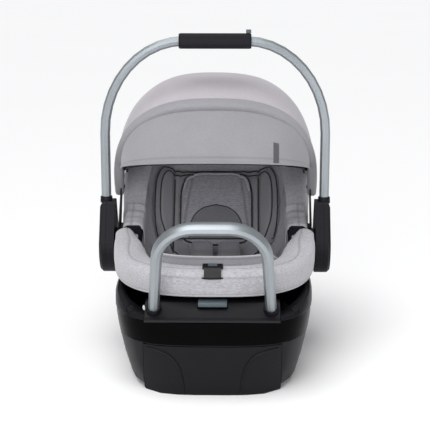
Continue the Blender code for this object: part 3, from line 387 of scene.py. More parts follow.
def fabric(name, color, melange=0.15, streak=(160, 520, 520), thread=0.0011, roughness=0.92,
           sheen=0.25, relief=0.00025):
    """Woven cloth: mottled yarn colour, a plain weave in relief, and darker stitched seams; on the
    canopy edge's fold the same darkening is painted shade.
    """
    material, nodes, links, shader = new_material(name, color, Roughness=roughness,
                                                  Sheen_Weight=sheen, Sheen_Roughness=0.5)
    yarn = noise_texture(nodes, links, streak, detail=4.0)
    tint = ramp(nodes, links, yarn, [(0.30, scaled(color, 1 - melange)),
                                     (0.70, scaled(color, 1 + melange))])
    patchy = noise_texture(nodes, links, (14, 14, 14), detail=2.0)
    tint = mix(nodes, links, "MULTIPLY", 1.0, tint,
               ramp(nodes, links, patchy, [(0.3, (0.93,) * 3), (0.7, (1.0,) * 3)]))
    seam = nodes.new("ShaderNodeAttribute")
    seam.attribute_name = "seam"
    # the seam value darkens stitched seams, and on the canopy edge's fold it is painted shade in
    # the crease
    tint = mix(nodes, links, "MIX", seam.outputs["Fac"], tint, scaled(color, 0.32))
    links.new(tint, shader.inputs["Base Color"])
    waves = []
    for turn in ((0, 0, 0), (0, math.radians(45), math.radians(90))):
        wave = nodes.new("ShaderNodeTexWave")
        wave.inputs["Scale"].default_value = 0.314 / thread / 2
        wave.inputs["Distortion"].default_value = 1.2
        wave.inputs["Detail"].default_value = 1.0
        coords = nodes.new("ShaderNodeTexCoord")
        mapping = nodes.new("ShaderNodeMapping")
        mapping.inputs["Rotation"].default_value = turn
        links.new(coords.outputs["Object"], mapping.inputs["Vector"])
        links.new(mapping.outputs["Vector"], wave.inputs["Vector"])
        waves.append(wave.outputs["Fac"])
    weave = nodes.new("ShaderNodeMath")
    weave.operation = "MULTIPLY"
    links.new(waves[0], weave.inputs[0])
    links.new(waves[1], weave.inputs[1])
    add_bump(nodes, links, shader, weave.outputs[0], relief, 0.5)
    return material


def webbing(name, color):
    """Ribbed seat-belt webbing."""
    material, nodes, links, shader = new_material(name, color, Roughness=0.55, Sheen_Weight=0.15)
    wave = nodes.new("ShaderNodeTexWave")
    wave.inputs["Scale"].default_value = 140
    wave.inputs["Distortion"].default_value = 0.4
    links.new(place_texture(nodes, links, (1, 1, 1)), wave.inputs["Vector"])
    links.new(ramp(nodes, links, wave.outputs["Fac"],
                   [(0.2, scaled(color, 0.6)), (0.8, scaled(color, 1.5))]),
              shader.inputs["Base Color"])
    add_bump(nodes, links, shader, wave.outputs["Fac"], 0.0004)
    return material


def plastic(name, color, roughness=0.45, grain=0.00006, wear=1.6, coat=0.0, gloss=0.25):
    """Moulded plastic: fine spark-eroded grain, uneven gloss, and edges rubbed a little lighter."""
    material, nodes, links, shader = new_material(name, color, Roughness=roughness,
                                                  Coat_Weight=coat, Coat_Roughness=0.12)
    shader.inputs["Specular IOR Level"].default_value = gloss
    geometry = nodes.new("ShaderNodeNewGeometry")
    edges = ramp(nodes, links, geometry.outputs["Pointiness"], [(0.50, (0,) * 3), (0.60, (1,) * 3)])
    cloudy = noise_texture(nodes, links, (18, 18, 18), detail=4.0)
    tint = ramp(nodes, links, cloudy, [(0.35, scaled(color, 0.88)), (0.65, scaled(color, 1.12))])
    links.new(mix(nodes, links, "MIX", edges, tint, scaled(color, wear)),
              shader.inputs["Base Color"])
    vary_roughness(nodes, links, shader, cloudy, roughness - 0.06, roughness + 0.08)
    sparks = noise_texture(nodes, links, (1400, 1400, 1400), detail=2.0)
    add_bump(nodes, links, shader, sparks, grain, 0.6)
    return material


def metal(name, color, roughness=0.32, metallic=1.0):
    """Satin tube: faint draw lines along it and small changes of sheen."""
    material, nodes, links, shader = new_material(name, color, Roughness=roughness,
                                                  Metallic=metallic)
    cloudy = noise_texture(nodes, links, (30, 30, 9), detail=4.0)
    links.new(ramp(nodes, links, cloudy, [(0.3, scaled(color, 0.93)), (0.7, scaled(color, 1.05))]),
              shader.inputs["Base Color"])
    vary_roughness(nodes, links, shader, cloudy, roughness - 0.05, roughness + 0.06)
    add_bump(nodes, links, shader, noise_texture(nodes, links, (2200, 2200, 2200)), 0.00003, 0.35)
    return material


MATERIALS = {
    "canopy": fabric("canopy_twill", (0.455, 0.425, 0.458), melange=0.05, thread=0.0008),
    "canopy_edge": fabric("canopy_edge_knit", (0.27, 0.266, 0.285), melange=0.06),
    "visor": fabric("visor_twill", (0.265, 0.262, 0.278), melange=0.05, thread=0.0008),
    "cover": fabric("cover_heather", (0.405, 0.398, 0.425), melange=0.22, thread=0.0014),
    "wall": fabric("wall_heather", (0.40, 0.393, 0.42), melange=0.22, thread=0.0014),
    "pad": fabric("pad_jersey", (0.285, 0.28, 0.305), melange=0.08),
    "pillow": fabric("pillow_heather", (0.32, 0.313, 0.345), melange=0.26, thread=0.0013),
    "arch": fabric("arch_jersey", (0.175, 0.172, 0.19), melange=0.10),
    "insert": fabric("insert_jersey", (0.215, 0.21, 0.23), melange=0.10),
    "piping_dark": fabric("piping_dark", (0.022, 0.022, 0.026), melange=0.1),
    "piping_light": fabric("piping_light", (0.42, 0.413, 0.435), melange=0.05),
    "tag": fabric("woven_tag", (0.075, 0.075, 0.085), melange=0.1, thread=0.0007),
    "label": fabric("plain_label", (0.78, 0.78, 0.78), melange=0.03, thread=0.0007),
    "webbing": webbing("black_webbing", (0.010, 0.010, 0.011)),
    "black": plastic("moulded_black", (0.0042, 0.0042, 0.0056), roughness=0.42, gloss=0.16),
    "black_soft": plastic("handle_black", (0.0050, 0.0050, 0.0070), roughness=0.50, gloss=0.16),
    "gloss": plastic("gloss_black", (0.0010, 0.0010, 0.0012), roughness=0.24, grain=0.00001,
                     gloss=0.03),
    "slate": plastic("slate_plastic", (0.055, 0.070, 0.082), roughness=0.40),
    "red": plastic("release_red", (0.42, 0.02, 0.015), roughness=0.35, wear=1.2),
    "recess": plastic("recess_black", (0.004, 0.004, 0.004), roughness=0.7),
    "rubber": plastic("rubber", (0.015, 0.015, 0.015), roughness=0.85, grain=0.0002),
    "silver": metal("satin_silver", (0.33, 0.36, 0.38), roughness=0.42, metallic=0.85),
    "steel": metal("brushed_steel", (0.55, 0.55, 0.56), roughness=0.36),
    "foam": fabric("foam_grey", (0.10, 0.10, 0.11), melange=0.2, thread=0.002),
}


# ---------------------------------------------------------------- hard parts

NODE_MATERIALS = {
    "black": """base_shell underside_plate ear_cover_left ear_cover_right front_console
                arb_socket_left arb_socket_right cradle recline_foot carrier_shell buckle
                adjuster_housing belt_guide_left belt_guide_right handle_mount_left
                handle_mount_right canopy_bracket_left canopy_bracket_right release_housing
                latch_housing canopy_front_bow canopy_mid_bow visor_bow""",
    "black_soft": "handle_grip hub_inner_left hub_inner_right hub_cover_left hub_cover_right",
    "gloss": "front_skirt",
    "silver": "arb_tube handle_tube",
    "steel": """front_latch_bar rear_latch_bar anchor_connector_left anchor_connector_right
                latch_tongue""",
    "slate": "recline_lever lockoff_arm release_lever handle_button adjuster_button",
    "red": "buckle_button",
    "rubber": "rubber_foot_left rubber_foot_right",
    "foam": "foam_liner",
    "webbing": "harness_strap_left harness_strap_right adjuster_strap anchor_belt",
}
BEVELLED = {"handle_grip": 0.004, "hub_cover_left": 0.003, "hub_cover_right": 0.003,
            "hub_inner_left": 0.0012, "hub_inner_right": 0.0012, "front_console": 0.0015,
            "adjuster_housing": 0.001, "release_housing": 0.001, "latch_housing": 0.001}


def smooth_shading():
    """A modifier that shades the moulded faces smooth and keeps edges over 35 degrees sharp."""
    group = bpy.data.node_groups.new("smooth faces", "GeometryNodeTree")
    group.interface.new_socket("Geometry", in_out="INPUT", socket_type="NodeSocketGeometry")
    group.interface.new_socket("Geometry", in_out="OUTPUT", socket_type="NodeSocketGeometry")
    nodes, links = group.nodes, group.links
    start, end = nodes.new("NodeGroupInput"), nodes.new("NodeGroupOutput")
    weld = nodes.new("GeometryNodeMergeByDistance")
    weld.inputs["Distance"].default_value = 0.00002
    plain = nodes.new("GeometryNodeRemoveAttribute")
    plain.inputs["Name"].default_value = "custom_normal"
    faces = nodes.new("GeometryNodeSetShadeSmooth")
    faces.domain = "FACE"
    edges = nodes.new("GeometryNodeSetShadeSmooth")
    edges.domain = "EDGE"
    edges.inputs["Shade Smooth"].default_value = False
    angle = nodes.new("GeometryNodeInputMeshEdgeAngle")
    sharp = nodes.new("FunctionNodeCompare")
    sharp.operation = "GREATER_THAN"
    sharp.inputs["B"].default_value = SHARP_ANGLE
    links.new(start.outputs[0], plain.inputs["Geometry"])
    links.new(plain.outputs["Geometry"], weld.inputs["Geometry"])
    links.new(weld.outputs["Geometry"], faces.inputs["Geometry"])
    links.new(faces.outputs["Geometry"], edges.inputs["Geometry"])
    links.new(angle.outputs["Unsigned Angle"], sharp.inputs["A"])
    links.new(sharp.outputs["Result"], edges.inputs["Selection"])
    links.new(edges.outputs["Geometry"], end.inputs[0])
    return group


def finish_hard_parts():
    faces = smooth_shading()
    for key, names in NODE_MATERIALS.items():
        for name in names.split():
            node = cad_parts[name]
            node.data.materials.clear()
            node.data.materials.append(MATERIALS[key])
            if name not in BEVELLED:
                node.modifiers.new("smooth faces", "NODES").node_group = faces
    for name, width in BEVELLED.items():
        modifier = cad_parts[name].modifiers.new("soft edges", "BEVEL")
        modifier.width = width
        modifier.segments = 3
        modifier.limit_method = "ANGLE"
        modifier.angle_limit = SHARP_ANGLE
        modifier.harden_normals = True


# ---------------------------------------------------------------- riding, trim and sheet area

def ride(piece, body):
    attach(piece, body)
    return piece


def trim(name, points, radius, material, slot, body="carrier", **shape):
    """A tube of piping, hem or lip that rides on a body."""
    return ride(tube(name, points, radius, MATERIALS[material], **shape), body)


def declare_sheet(cloth):
    """The cut is the sum of the sewn panels, so its flat area is the surface's own; this works that
    area out and does not keep it.
    """
    bm = bmesh.new()
    bm.from_mesh(cloth.data)
    area = sum(face.calc_area() for face in bm.faces) / 2
    bm.free()


# ---------------------------------------------------------------- canopy

def fan_point(pivot, angle, half_width, radius, share, power=CANOPY_POWER):
    """A point of an arch that stands at an angle (degrees forward of upright) about a pivot."""
    s = math.pi * share
    x = half_width * signed_power(math.cos(s), 2 / power)
    r = radius * abs(math.sin(s)) ** (2 / power)
    a = math.radians(angle)
    return Vector((x, pivot[0] - r * math.sin(a), pivot[1] + r * math.cos(a)))


def arch_shares(radius, start_reach, count, half_width=BAND_HALF_WIDTH):
    """Shares along an arch, evenly spaced by length, starting start_reach above its feet."""
    first = math.asin((start_reach / radius) ** (CANOPY_POWER / 2)) / math.pi
    dense = [first + (1 - 2 * first) * i / 400 for i in range(401)]
    pts = [fan_point((0, 0), 0, half_width, radius, s) for s in dense]
    steps = np.concatenate([[0], np.cumsum([(b - a).length for a, b in zip(pts, pts[1:])])])
    return [float(np.interp(steps[-1] * i / (count - 1), steps, dense)) for i in range(count)]


def canopy_size(angle):
    """Half width and radius of the dome's arch, which tucks in at its elastic rear hem."""
    forward = ease((FRONT_BOW_ANGLE - angle) / (FRONT_BOW_ANGLE - MID_BOW_ANGLE))
    back = ease((MID_BOW_ANGLE - angle) / (MID_BOW_ANGLE - REAR_ANGLE))
    tuck = 0.016 * ease((REAR_ANGLE + 2 - angle) / (REAR_ANGLE - CANOPY_HEM_ANGLE))
    half_width, radius = [front + (middle - front) * forward + (rear - middle) * back
                          for front, middle, rear in (CANOPY_HALF_WIDTHS, CANOPY_RADII)]
    return half_width, radius - tuck


def build_canopy_cloth():
    rows, seam = [], []
    columns, steps = 96, 70
    for j in range(steps + 1):
        angle = 34.0 + (CANOPY_HEM_ANGLE - 34.0) * j / steps
        half_width, radius = canopy_size(angle)
        slack = 0.0022 * (math.sin(math.pi * (angle + 20) / 51) ** 2)
        row = []
        for i, s in enumerate(arch_shares(radius, 0.014, columns)):
            pull = slack * math.sin(math.pi * s)
            ripple = 0.0008 * noise.noise(Vector((s * 9, angle * 0.03, 2.0)))
            row.append(fan_point(CANOPY_PIVOT, angle, half_width - pull + ripple,
                                 radius - pull + ripple, s))
            seam.append(0.55 * math.exp(-((angle + 20) / 0.5) ** 2))
        rows.append(row)
    cloth = thicken(grid("canopy_cloth", rows, MATERIALS["canopy"], seam=seam), 0.0014)
    apply_modifiers(cloth)
    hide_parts("canopy_fabric")
    declare_sheet(cloth)
    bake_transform(cloth)

    half_width, radius = canopy_size(CANOPY_HEM_ANGLE)
    hem = [fan_point(CANOPY_PIVOT, CANOPY_HEM_ANGLE, half_width, radius, s)
           for s in arch_shares(radius, 0.014, 90)]
    trim("canopy_hem", hem, 0.0022, "canopy", "canopy_cloth")


def build_canopy_edge():
    """Padded roll over the front bow, with a seam where its lip folds in, and rounded tips. Along
    the fold the colour is darkened as painted shade in the crease.
    """
    a = math.radians(FRONT_BOW_ANGLE)
    forward = Vector((0, -math.cos(a), -math.sin(a)))
    along = Vector((0, -math.sin(a), math.cos(a)))
    half_depth, half_width = 0.0095, 0.0130
    arch = [fan_point(CANOPY_PIVOT, FRONT_BOW_ANGLE, BAND_HALF_WIDTH - half_depth,
                      BAND_RADIUS - half_depth, s) for s in arch_shares(BAND_RADIUS, 0.004, 120)]
    pivot = Vector((0, *CANOPY_PIVOT))
    drop = [Vector((arch[0].x, *CANOPY_PIVOT)) - along * d
            for d in (0.019, 0.016, 0.012, 0.007, 0.002)]
    left_drop = [Vector((-p.x, p.y, p.z)) for p in drop[::-1]]
    path = [Vector(p) for p in resample(spline(drop + arch[2:-2] + left_drop, 2), 150)]
    total = len(path)
    rows, seam = [], []
    for i, p in enumerate(path):
        ahead = (path[min(i + 1, total - 1)] - path[max(i - 1, 0)]).normalized()
        outward = ahead.cross(forward).normalized()
        if outward.dot(p - pivot) < 0:
            outward = -outward
        end = min(i, total - 1 - i) * 0.0052
        shrink = math.sqrt(1 - max(0.0, 1 - (end + 0.0004) / 0.012) ** 2)
        ring = []
        for k in range(28):
            t = 2 * math.pi * k / 28
            u = signed_power(math.cos(t), 0.72) * half_width * shrink
            v = signed_power(math.sin(t), 0.72) * half_depth * (0.55 + 0.45 * shrink)
            crease = math.exp(-((t - 5.05) / 0.16) ** 2)
            pucker = 0.0003 * noise.noise(Vector((i * 0.45, k * 0.2, 0)))
            depth = 1 - 0.10 * crease
            ring.append(p + forward * (u * depth + pucker) + outward * (v * depth + pucker))
            # the seam value along the fold darkens its colour: painted shade in the crease under
            # the roll
            seam.append(0.5 * crease)
        rows.append(ring)
    roll = grid("canopy_edge_roll", rows, MATERIALS["canopy_edge"], wrap=True, caps=True,
                seam=seam)
    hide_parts("canopy_band")
    ride(roll, "canopy_front")


def visor_pivot():
    a = math.radians(FRONT_BOW_ANGLE)
    y, z = CANOPY_PIVOT
    return (y - VISOR_REACH * math.sin(a), z + VISOR_REACH * math.cos(a))


def visor_point(angle, s, lift=0.0):
    bulge = 0.004 * math.sin(math.pi * (angle - 35) / 45) if angle > 35 else 0.0
    grow = bulge * math.sin(math.pi * s) + lift
    return fan_point(visor_pivot(), angle, VISOR_HALF_WIDTH + lift, VISOR_RADIUS + grow, s)


def build_visor():
    rows, seam = [], []
    columns, steps = 96, 40
    first, last = VISOR_ANGLES
    shares = arch_shares(VISOR_RADIUS, 0.010, columns, VISOR_HALF_WIDTH)
    for j in range(steps + 1):
        angle = first + (last - first) * j / steps
        rows.append([visor_point(angle, s) for s in shares])
        stitch = math.exp(-((angle - (last - 3.4)) / 0.45) ** 2)
        seam += [0.35 * stitch] * columns
    cloth = thicken(grid("visor_cloth", rows, MATERIALS["visor"], seam=seam), 0.0013)
    apply_modifiers(cloth)
    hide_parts("visor_fabric")
    declare_sheet(cloth)
    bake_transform(cloth)
    hem = [visor_point(last, s, -0.0006) for s in shares]
    trim("visor_hem", hem, 0.0019, "visor", "visor_cloth", "visor")

    tag_rows = []
    for j in range(13):
        angle = TAG_ANGLE + (last + 0.3 - TAG_ANGLE) * j / 12
        row = []
        for x in (0.1085, 0.1115, 0.1155, 0.1185):
            s = math.acos((x / VISOR_HALF_WIDTH) ** (CANOPY_POWER / 2)) / math.pi
            row.append(visor_point(angle, s, 0.0008))
        tag_rows.append(row)
    tag = apply_modifiers(thicken(grid("visor_tag", tag_rows, MATERIALS["tag"]), 0.0008))
    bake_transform(tag)


# ---------------------------------------------------------------- carrier covers

def bowl_height(x, y, depth_in):
    u = abs(x) / (SHELL_HALF_WIDTH - depth_in)
    v = abs(y - SHELL_CENTRE_Y) / (SHELL_HALF_LENGTH - depth_in)
    k = min((u**SHELL_PLAN_POWER + v**SHELL_PLAN_POWER) ** (1 / SHELL_PLAN_POWER), 1.0)
    drop = (1 - k**BOWL_POWER) ** (1 / BOWL_POWER)
    rim = rim_height(y)
    return rim + (floor_height(y) + FLOOR_RAISE * depth_in - rim) * drop


def rim_point(cx, cy, outward, rise):
    """A point beside the rim: outward from the shell's outer face, and rise above the rim."""
    x = (SHELL_HALF_WIDTH + outward) * cx
    y = SHELL_CENTRE_Y + (SHELL_HALF_LENGTH + outward) * cy
    return Vector((x, y, rim_height(SHELL_CENTRE_Y + SHELL_HALF_LENGTH * cy) + rise))


def half_outline(y_stop, count):
    """The plan outline beyond y_stop, from +X to -X, in unit half sizes."""
    share = (y_stop - SHELL_CENTRE_Y) / SHELL_HALF_LENGTH
    side = -1 if share <= 0 else 1
    start = math.asin(abs(share) ** (SHELL_PLAN_POWER / 2))
    dense = []
    for i in range(721):
        a = start + (math.pi - 2 * start) * i / 720
        dense.append((signed_power(math.cos(a), 2 / SHELL_PLAN_POWER) * SHELL_HALF_WIDTH,
                      side * signed_power(math.sin(a), 2 / SHELL_PLAN_POWER) * SHELL_HALF_LENGTH))
    return [(x / SHELL_HALF_WIDTH, y / SHELL_HALF_LENGTH) for x, y in resample(dense, count)]


def cover_profile(outer, inner, top, hem_out, hem_in):
    """Rolled cover over the rim: a soft arch whose underside is slotted for the layers."""
    arch = spline([
        (0.45 * outer, -hem_out - 0.001), (0.9 * outer, -hem_out + 0.002),
        (outer, -0.5 * hem_out), (0.95 * outer, 0.0), (0.6 * outer, 0.75 * top), (0.0, top),
        (0.5 * inner, 0.85 * top), (0.82 * inner, 0.4 * top), (inner, 0.0), (inner, -0.7 * hem_in),
        (0.86 * inner, -hem_in),
    ])
    return [tuple(p) for p in arch]


def build_rim_cover(name, node, profile, slot_points, y_stop, stations, material, swell, seams,
                    taper=0.0, spread=lambda y: 0.0):
    """Sweeps the padded profile round one end of the rim, domed at both ends.

    taper is the length over which the inner side narrows to a tip; spread(y) widens the plan.
    """
    path = half_outline(y_stop, stations)
    length = 0.0
    lengths = [0.0]
    points = [rim_point(cx, cy, 0, 0) for cx, cy in path]
    for a, b in zip(points, points[1:]):
        length += (b - a).length
        lengths.append(length)
    rows, seam = [], []
    skin = len(profile)
    centre = (0.25 * (profile[0][0] + profile[-1][0]), -0.004)
    for (cx, cy), at in zip(path, lengths):
        y = SHELL_CENTRE_Y + SHELL_HALF_LENGTH * cy
        lift = swell(y)
        end = min(at, length - at)
        dome = math.sqrt(1 - max(0.0, 1 - (end + 0.0006) / 0.016) ** 2)
        narrow = 1 - 0.52 * (1 - ease(end / taper)) if taper else 1.0
        row = []
        for i, (n, rise) in enumerate(profile + slot_points):
            on_skin = i < skin
            r = rise + (lift if rise > 0.003 else 0.0)
            if on_skin:
                p = i / (skin - 1)
                groove, mark = seams(p, at, length)
                shrink = (0.55 + 0.45 * dome)
                wobble = 0.0007 * noise.noise(Vector((at * 28, p * 7, 5.0)))
                ox, oz = n - centre[0], r - centre[1]
                size = math.hypot(ox, oz)
                k = shrink * (1 - (groove - wobble) / max(size, 0.004))
                n, r = centre[0] + ox * k, centre[1] + oz * k
                n = n * narrow if n < 0 else n
                seam.append(mark)
            else:
                seam.append(0.0)
            point = rim_point(cx, cy, n, r)
            point.x += math.copysign(spread(y), cx) if n > -0.012 else 0.0
            row.append(point)
        rows.append(row)
    cover = grid(name, rows, material, wrap=True, caps=True, seam=seam)
    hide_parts(node)
    ride(cover, "carrier")
    return cover


def front_seams(p, at, length):
    """A stitched channel along the crest, drifting outward on the arms, and one on the face."""
    middle = abs(at / length - 0.5) * 2
    crest = 0.46 + 0.10 * ease((middle - 0.45) / 0.4)
    face = bell(p, 0.285, 0.012) * (1 - ease((middle - 0.30) / 0.06))
    line = bell(p, crest, 0.010)
    return 0.0011 * line + 0.0006 * face, 0.55 * line + 0.35 * face


def rear_seams(p, at, length):
    line = bell(p, 0.30, 0.010)
    return 0.0010 * line, 0.5 * line


def build_covers():
    arm_lift = smooth_curve([(-0.150, 0.0), (-0.080, 0.006), (-0.024, 0.011)])
    slot_in, slot_out = -0.0242, 0.0024
    build_rim_cover(
        "front_cover_heather", "front_cover", cover_profile(0.0195, -0.036, 0.012, 0.035, 0.004),
        [(slot_in, -0.004), (slot_in, 0.003), (slot_out, 0.003), (slot_out, -0.035)],
        -0.026, 190, MATERIALS["cover"], arm_lift, front_seams, taper=0.075)
    build_rim_cover(
        "rear_cover_heather", "rear_cover", cover_profile(0.0122, -0.031, 0.012, 0.048, 0.008),
        [(slot_in, -0.008), (slot_in, 0.003), (slot_out, 0.003), (slot_out, -0.048)],
        0.052, 170, MATERIALS["wall"], lambda y: 0.0, rear_seams,
        spread=lambda y: 0.011 * ease((y - 0.07) / 0.08) * (1 - ease((y - 0.20) / 0.06)))
    hem = [rim_point(cx, cy, 0.0165, -0.0348) for cx, cy in half_outline(-0.032, 120)]
    trim("front_cover_piping", hem, 0.0019, "piping_light", "heather_light")


def build_side_panels():
    """Fabric that drops over the rim beside the handle, between the two rim covers."""
    profile = spline([(0.0052, 0.004), (0.0062, 0.010), (0.002, 0.0150), (-0.012, 0.0162),
                      (-0.026, 0.0150), (-0.0335, 0.0085), (-0.0360, -0.012), (-0.0350, -0.034)])
    for side, tag in SIDES:
        rows, seam = [], []
        for i in range(40):
            y = -0.006 + 0.072 * i / 39
            share = (y - SHELL_CENTRE_Y) / SHELL_HALF_LENGTH
            cx = (1 - abs(share) ** SHELL_PLAN_POWER) ** (1 / SHELL_PLAN_POWER)
            fold = 0.0016 * math.sin(i * 0.55) * (i / 39)
            turn_in = 0.6 + 0.4 * ease(i / 5)
            row = []
            for n, rise in profile:
                point = rim_point(cx, share, n, rise * turn_in + fold * (rise > 0))
                row.append(Vector((side * point.x, point.y, point.z)))
            rows.append(row)
            seam += [0.5 * bell(k / len(profile), 0.40, 0.02) for k in range(len(profile))]
        panel = thicken(grid(f"side_panel_{tag}", rows, MATERIALS["wall"], seam=seam), 0.0014)
        apply_modifiers(panel)
        ride(panel, "carrier")


def build_liner():
    """The fabric that lines the bowl, with upright panel seams on its side walls."""
    segments, shares = 128, [1.0, 0.992, 0.98, 0.96, 0.93, 0.89, 0.84, 0.78, 0.70, 0.60, 0.48,
                             0.34, 0.18, 0.02]
    rows, seam = [], []
    for k in shares:
        row = []
        for i in range(segments):
            a = 2 * math.pi * i / segments
            cx = signed_power(math.cos(a), 2 / SHELL_PLAN_POWER)
            cy = signed_power(math.sin(a), 2 / SHELL_PLAN_POWER)
            x = (SHELL_HALF_WIDTH - LINER_DEPTH) * cx * k
            y = SHELL_CENTRE_Y + (SHELL_HALF_LENGTH - LINER_DEPTH) * cy * k
            drape = 0.0005 * noise.noise(Vector((x * 30, y * 30, k * 4)))
            row.append((x, y, bowl_height(x, y, LINER_DEPTH) + drape))
            seam.append(0.6 * (bell(y, 0.075, 0.0018) + bell(y, 0.150, 0.0018)))
        rows.append(row)
    liner = thicken(grid("liner_heather", rows, MATERIALS["wall"], wrap=True, seam=seam), 0.0030)
    for polygon in liner.data.polygons:
        if polygon.center.z and polygon.normal.z < 0:
            liner.data.flip_normals()
            break
    apply_modifiers(liner)
    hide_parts("seat_liner")
    ride(liner, "carrier")
    return liner


# ---------------------------------------------------------------- cushions

def simulate_pad(name, node, material, voxel, shrink, pressure, cap):
    """Inflates a copy of a CAD pad as cloth, subdivides it, and fits it to the CAD pad's box."""
    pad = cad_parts[node].copy()
    pad.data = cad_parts[node].data.copy()
    pad.name = name
    pad.parent = None
    pad.matrix_world = Matrix.Identity(4)
    pad.data.transform(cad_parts[node].matrix_world)
    for key in list(pad.keys()):
        del pad[key]
    bpy.context.scene.collection.objects.link(pad)
    remesh = pad.modifiers.new("even mesh", "REMESH")
    remesh.mode = "VOXEL"
    remesh.voxel_size = voxel
    apply_modifiers(pad)
    mesh = pad.data
    rest = np.array([v.co for v in mesh.vertices])
    normals = np.array([v.normal for v in mesh.vertices])
    start = rest - normals * shrink
    mesh.vertices.foreach_set("co", start.ravel())
    mesh.update()
    cloth = pad.modifiers.new("cloth", "CLOTH")
    cloth.settings.use_pressure = True
    cloth.settings.uniform_pressure_force = pressure
    cloth.settings.effector_weights.gravity = 0.0
    cloth.settings.quality = 5
    scene = bpy.context.scene
    for step in range(1, 21):
        scene.frame_set(step)
    depsgraph = bpy.context.evaluated_depsgraph_get()
    swollen = pad.evaluated_get(depsgraph).to_mesh()
    blown = np.array([v.co for v in swollen.vertices])
    pad.evaluated_get(depsgraph).to_mesh_clear()
    pad.modifiers.clear()
    move = np.nan_to_num(blown - start)
    size = np.linalg.norm(move, axis=1, keepdims=True)
    move *= np.minimum(1.0, cap / np.maximum(size, 1e-9))
    mesh.vertices.foreach_set("co", (start + move).ravel())
    mesh.update()
    scene.frame_set(1)
    mesh.materials.clear()
    mesh.materials.append(MATERIALS[material])
    mesh.polygons.foreach_set("use_smooth", [True] * len(mesh.polygons))
    relax = pad.modifiers.new("relax", "SMOOTH")
    relax.iterations = 3
    relax.factor = 0.5
    finer = pad.modifiers.new("finer", "SUBSURF")
    finer.levels = finer.render_levels = 1
    apply_modifiers(pad)
    low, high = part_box(node)
    places = np.array([v.co for v in pad.data.vertices])
    spread = (np.array(high) - np.array(low)) / (places.max(0) - places.min(0))
    places = np.array(low) + (places - places.min(0)) * spread
    pad.data.vertices.foreach_set("co", places.ravel())
    pad.data.update()
    if "seam" not in pad.data.attributes:
        pad.data.attributes.new("seam", "FLOAT", "POINT")
    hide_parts(node)
    ride(pad, "carrier")
    return pad


def carve(pad, grooves, depth):
    """Presses sewn channels into a pad's top; grooves(x, y) is 1 on a seam."""
    mesh = pad.data
    places = np.array([v.co for v in mesh.vertices])
    normals = np.array([v.normal for v in mesh.vertices])
    amounts = np.array([grooves(p[0], p[1]) if n[2] > 0.15 else 0.0
                        for p, n in zip(places, normals)])
    mesh.vertices.foreach_set("co", (places - normals * depth * amounts[:, None]).ravel())
    mesh.attributes["seam"].data.foreach_set("value", 0.5 * amounts)
    mesh.update()


def outline_points(centre, half_size, power, count=120):
    pts = []
    for i in range(count):
        a = 2 * math.pi * i / count
        pts.append((centre[0] + half_size[0] * signed_power(math.cos(a), 2 / power),
                    centre[1] + half_size[1] * signed_power(math.sin(a), 2 / power), 0.3))
    return pts


def plan_box(node):
    """A node's middle and half size, in plan."""
    low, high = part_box(node)
    return ([(low[i] + high[i]) / 2 for i in (0, 1)], [(high[i] - low[i]) / 2 for i in (0, 1)])


def build_seat_insert():
    pad = simulate_pad("seat_insert", "seat_pad", "insert", voxel=0.005,
                       shrink=0.002, pressure=4.0, cap=0.004)
    carve(pad, lambda x, y: bell(abs(x), 0.060 + 0.10 * (y + 0.10), 0.0035) * (y < 0.05), 0.0035)

def build_head_support():
    """U-shaped head pad: two upright bolsters and a header, bound with dark piping."""
    pad = simulate_pad("head_support_jersey", "head_support", "pad", voxel=0.0045,
                       shrink=0.0015, pressure=3.0, cap=0.0035)
    centre, half = plan_box("head_support")
    carve(pad, lambda x, y: bell(abs(x), BOLSTER_X, 0.0030), 0.0030)
    tree = surface_of(pad)
    for tag, share in (("outer", 0.955), ("inner", 0.87)):
        ring = drop_on(tree, outline_points(centre, (half[0] * share, half[1] * share), 3.0),
                       lift=0.0004)
        trim(f"head_support_piping_{tag}", ring, 0.0014, "piping_dark", "pad_grey", closed=True)
    for side, tag in SIDES:
        line = [(side * BOLSTER_X, y, 0.4)
                for y in np.linspace(centre[1] - 0.055, centre[1] + 0.050, 40)]
        trim(f"bolster_piping_{tag}", drop_on(tree, line, lift=0.0002), 0.0017, "piping_dark",
             "pad_grey")


def build_pillow():
    """Infant pillow: heather face in a dark binding, a light top hem, and an arched patch."""
    pad = simulate_pad("head_pillow_heather", "head_pillow", "pillow",
                       voxel=0.004, shrink=0.0015, pressure=4.0, cap=0.0035)
    centre, half = plan_box("head_pillow")
    carve(pad, lambda x, y: bell(abs(x), 0.060 - 0.25 * (y - centre[1]), 0.0025) * (y > 0.12),
          0.0018)
    tree = surface_of(pad)
    ring = drop_on(tree, outline_points(centre, (half[0] * 0.95, half[1] * 0.94), 4.2),
                   lift=0.0003)
    trim("pillow_binding", ring, 0.0020, "piping_dark", "pad_grey", closed=True)
    hem = [p for p in outline_points(centre, (half[0] * 0.89, half[1] * 0.86), 4.2, 160)
           if p[1] > centre[1] + 0.022]
    hem = drop_on(tree, sorted(hem, key=lambda p: p[0]), lift=0.0008)
    trim("pillow_top_hem", hem, 0.0026, "wall", "heather_mid")

    first, tall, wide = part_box("head_pillow")[0][1] + 0.010, 0.046, 0.0545
    patch = []
    for j in range(17):
        v = j / 16
        half_row = wide * max(1 - v**3.0, 0.0006) ** 0.5
        row = [(half_row * u, first + tall * v, 0.4) for u in np.linspace(-1, 1, 41)]
        landed = drop_on(tree, row, lift=0.0014)
        if len(landed) == len(row):
            patch.append(landed)
    arch = apply_modifiers(thicken(grid("pillow_arch_patch", patch, MATERIALS["arch"]), 0.0018))
    ride(arch, "carrier")
    edge = [row[0] for row in patch] + patch[-1][8:-8:8] + [row[-1] for row in patch[::-1]]
    trim("pillow_arch_piping", resample(edge, 80), 0.0010, "piping_dark", "pad_grey")


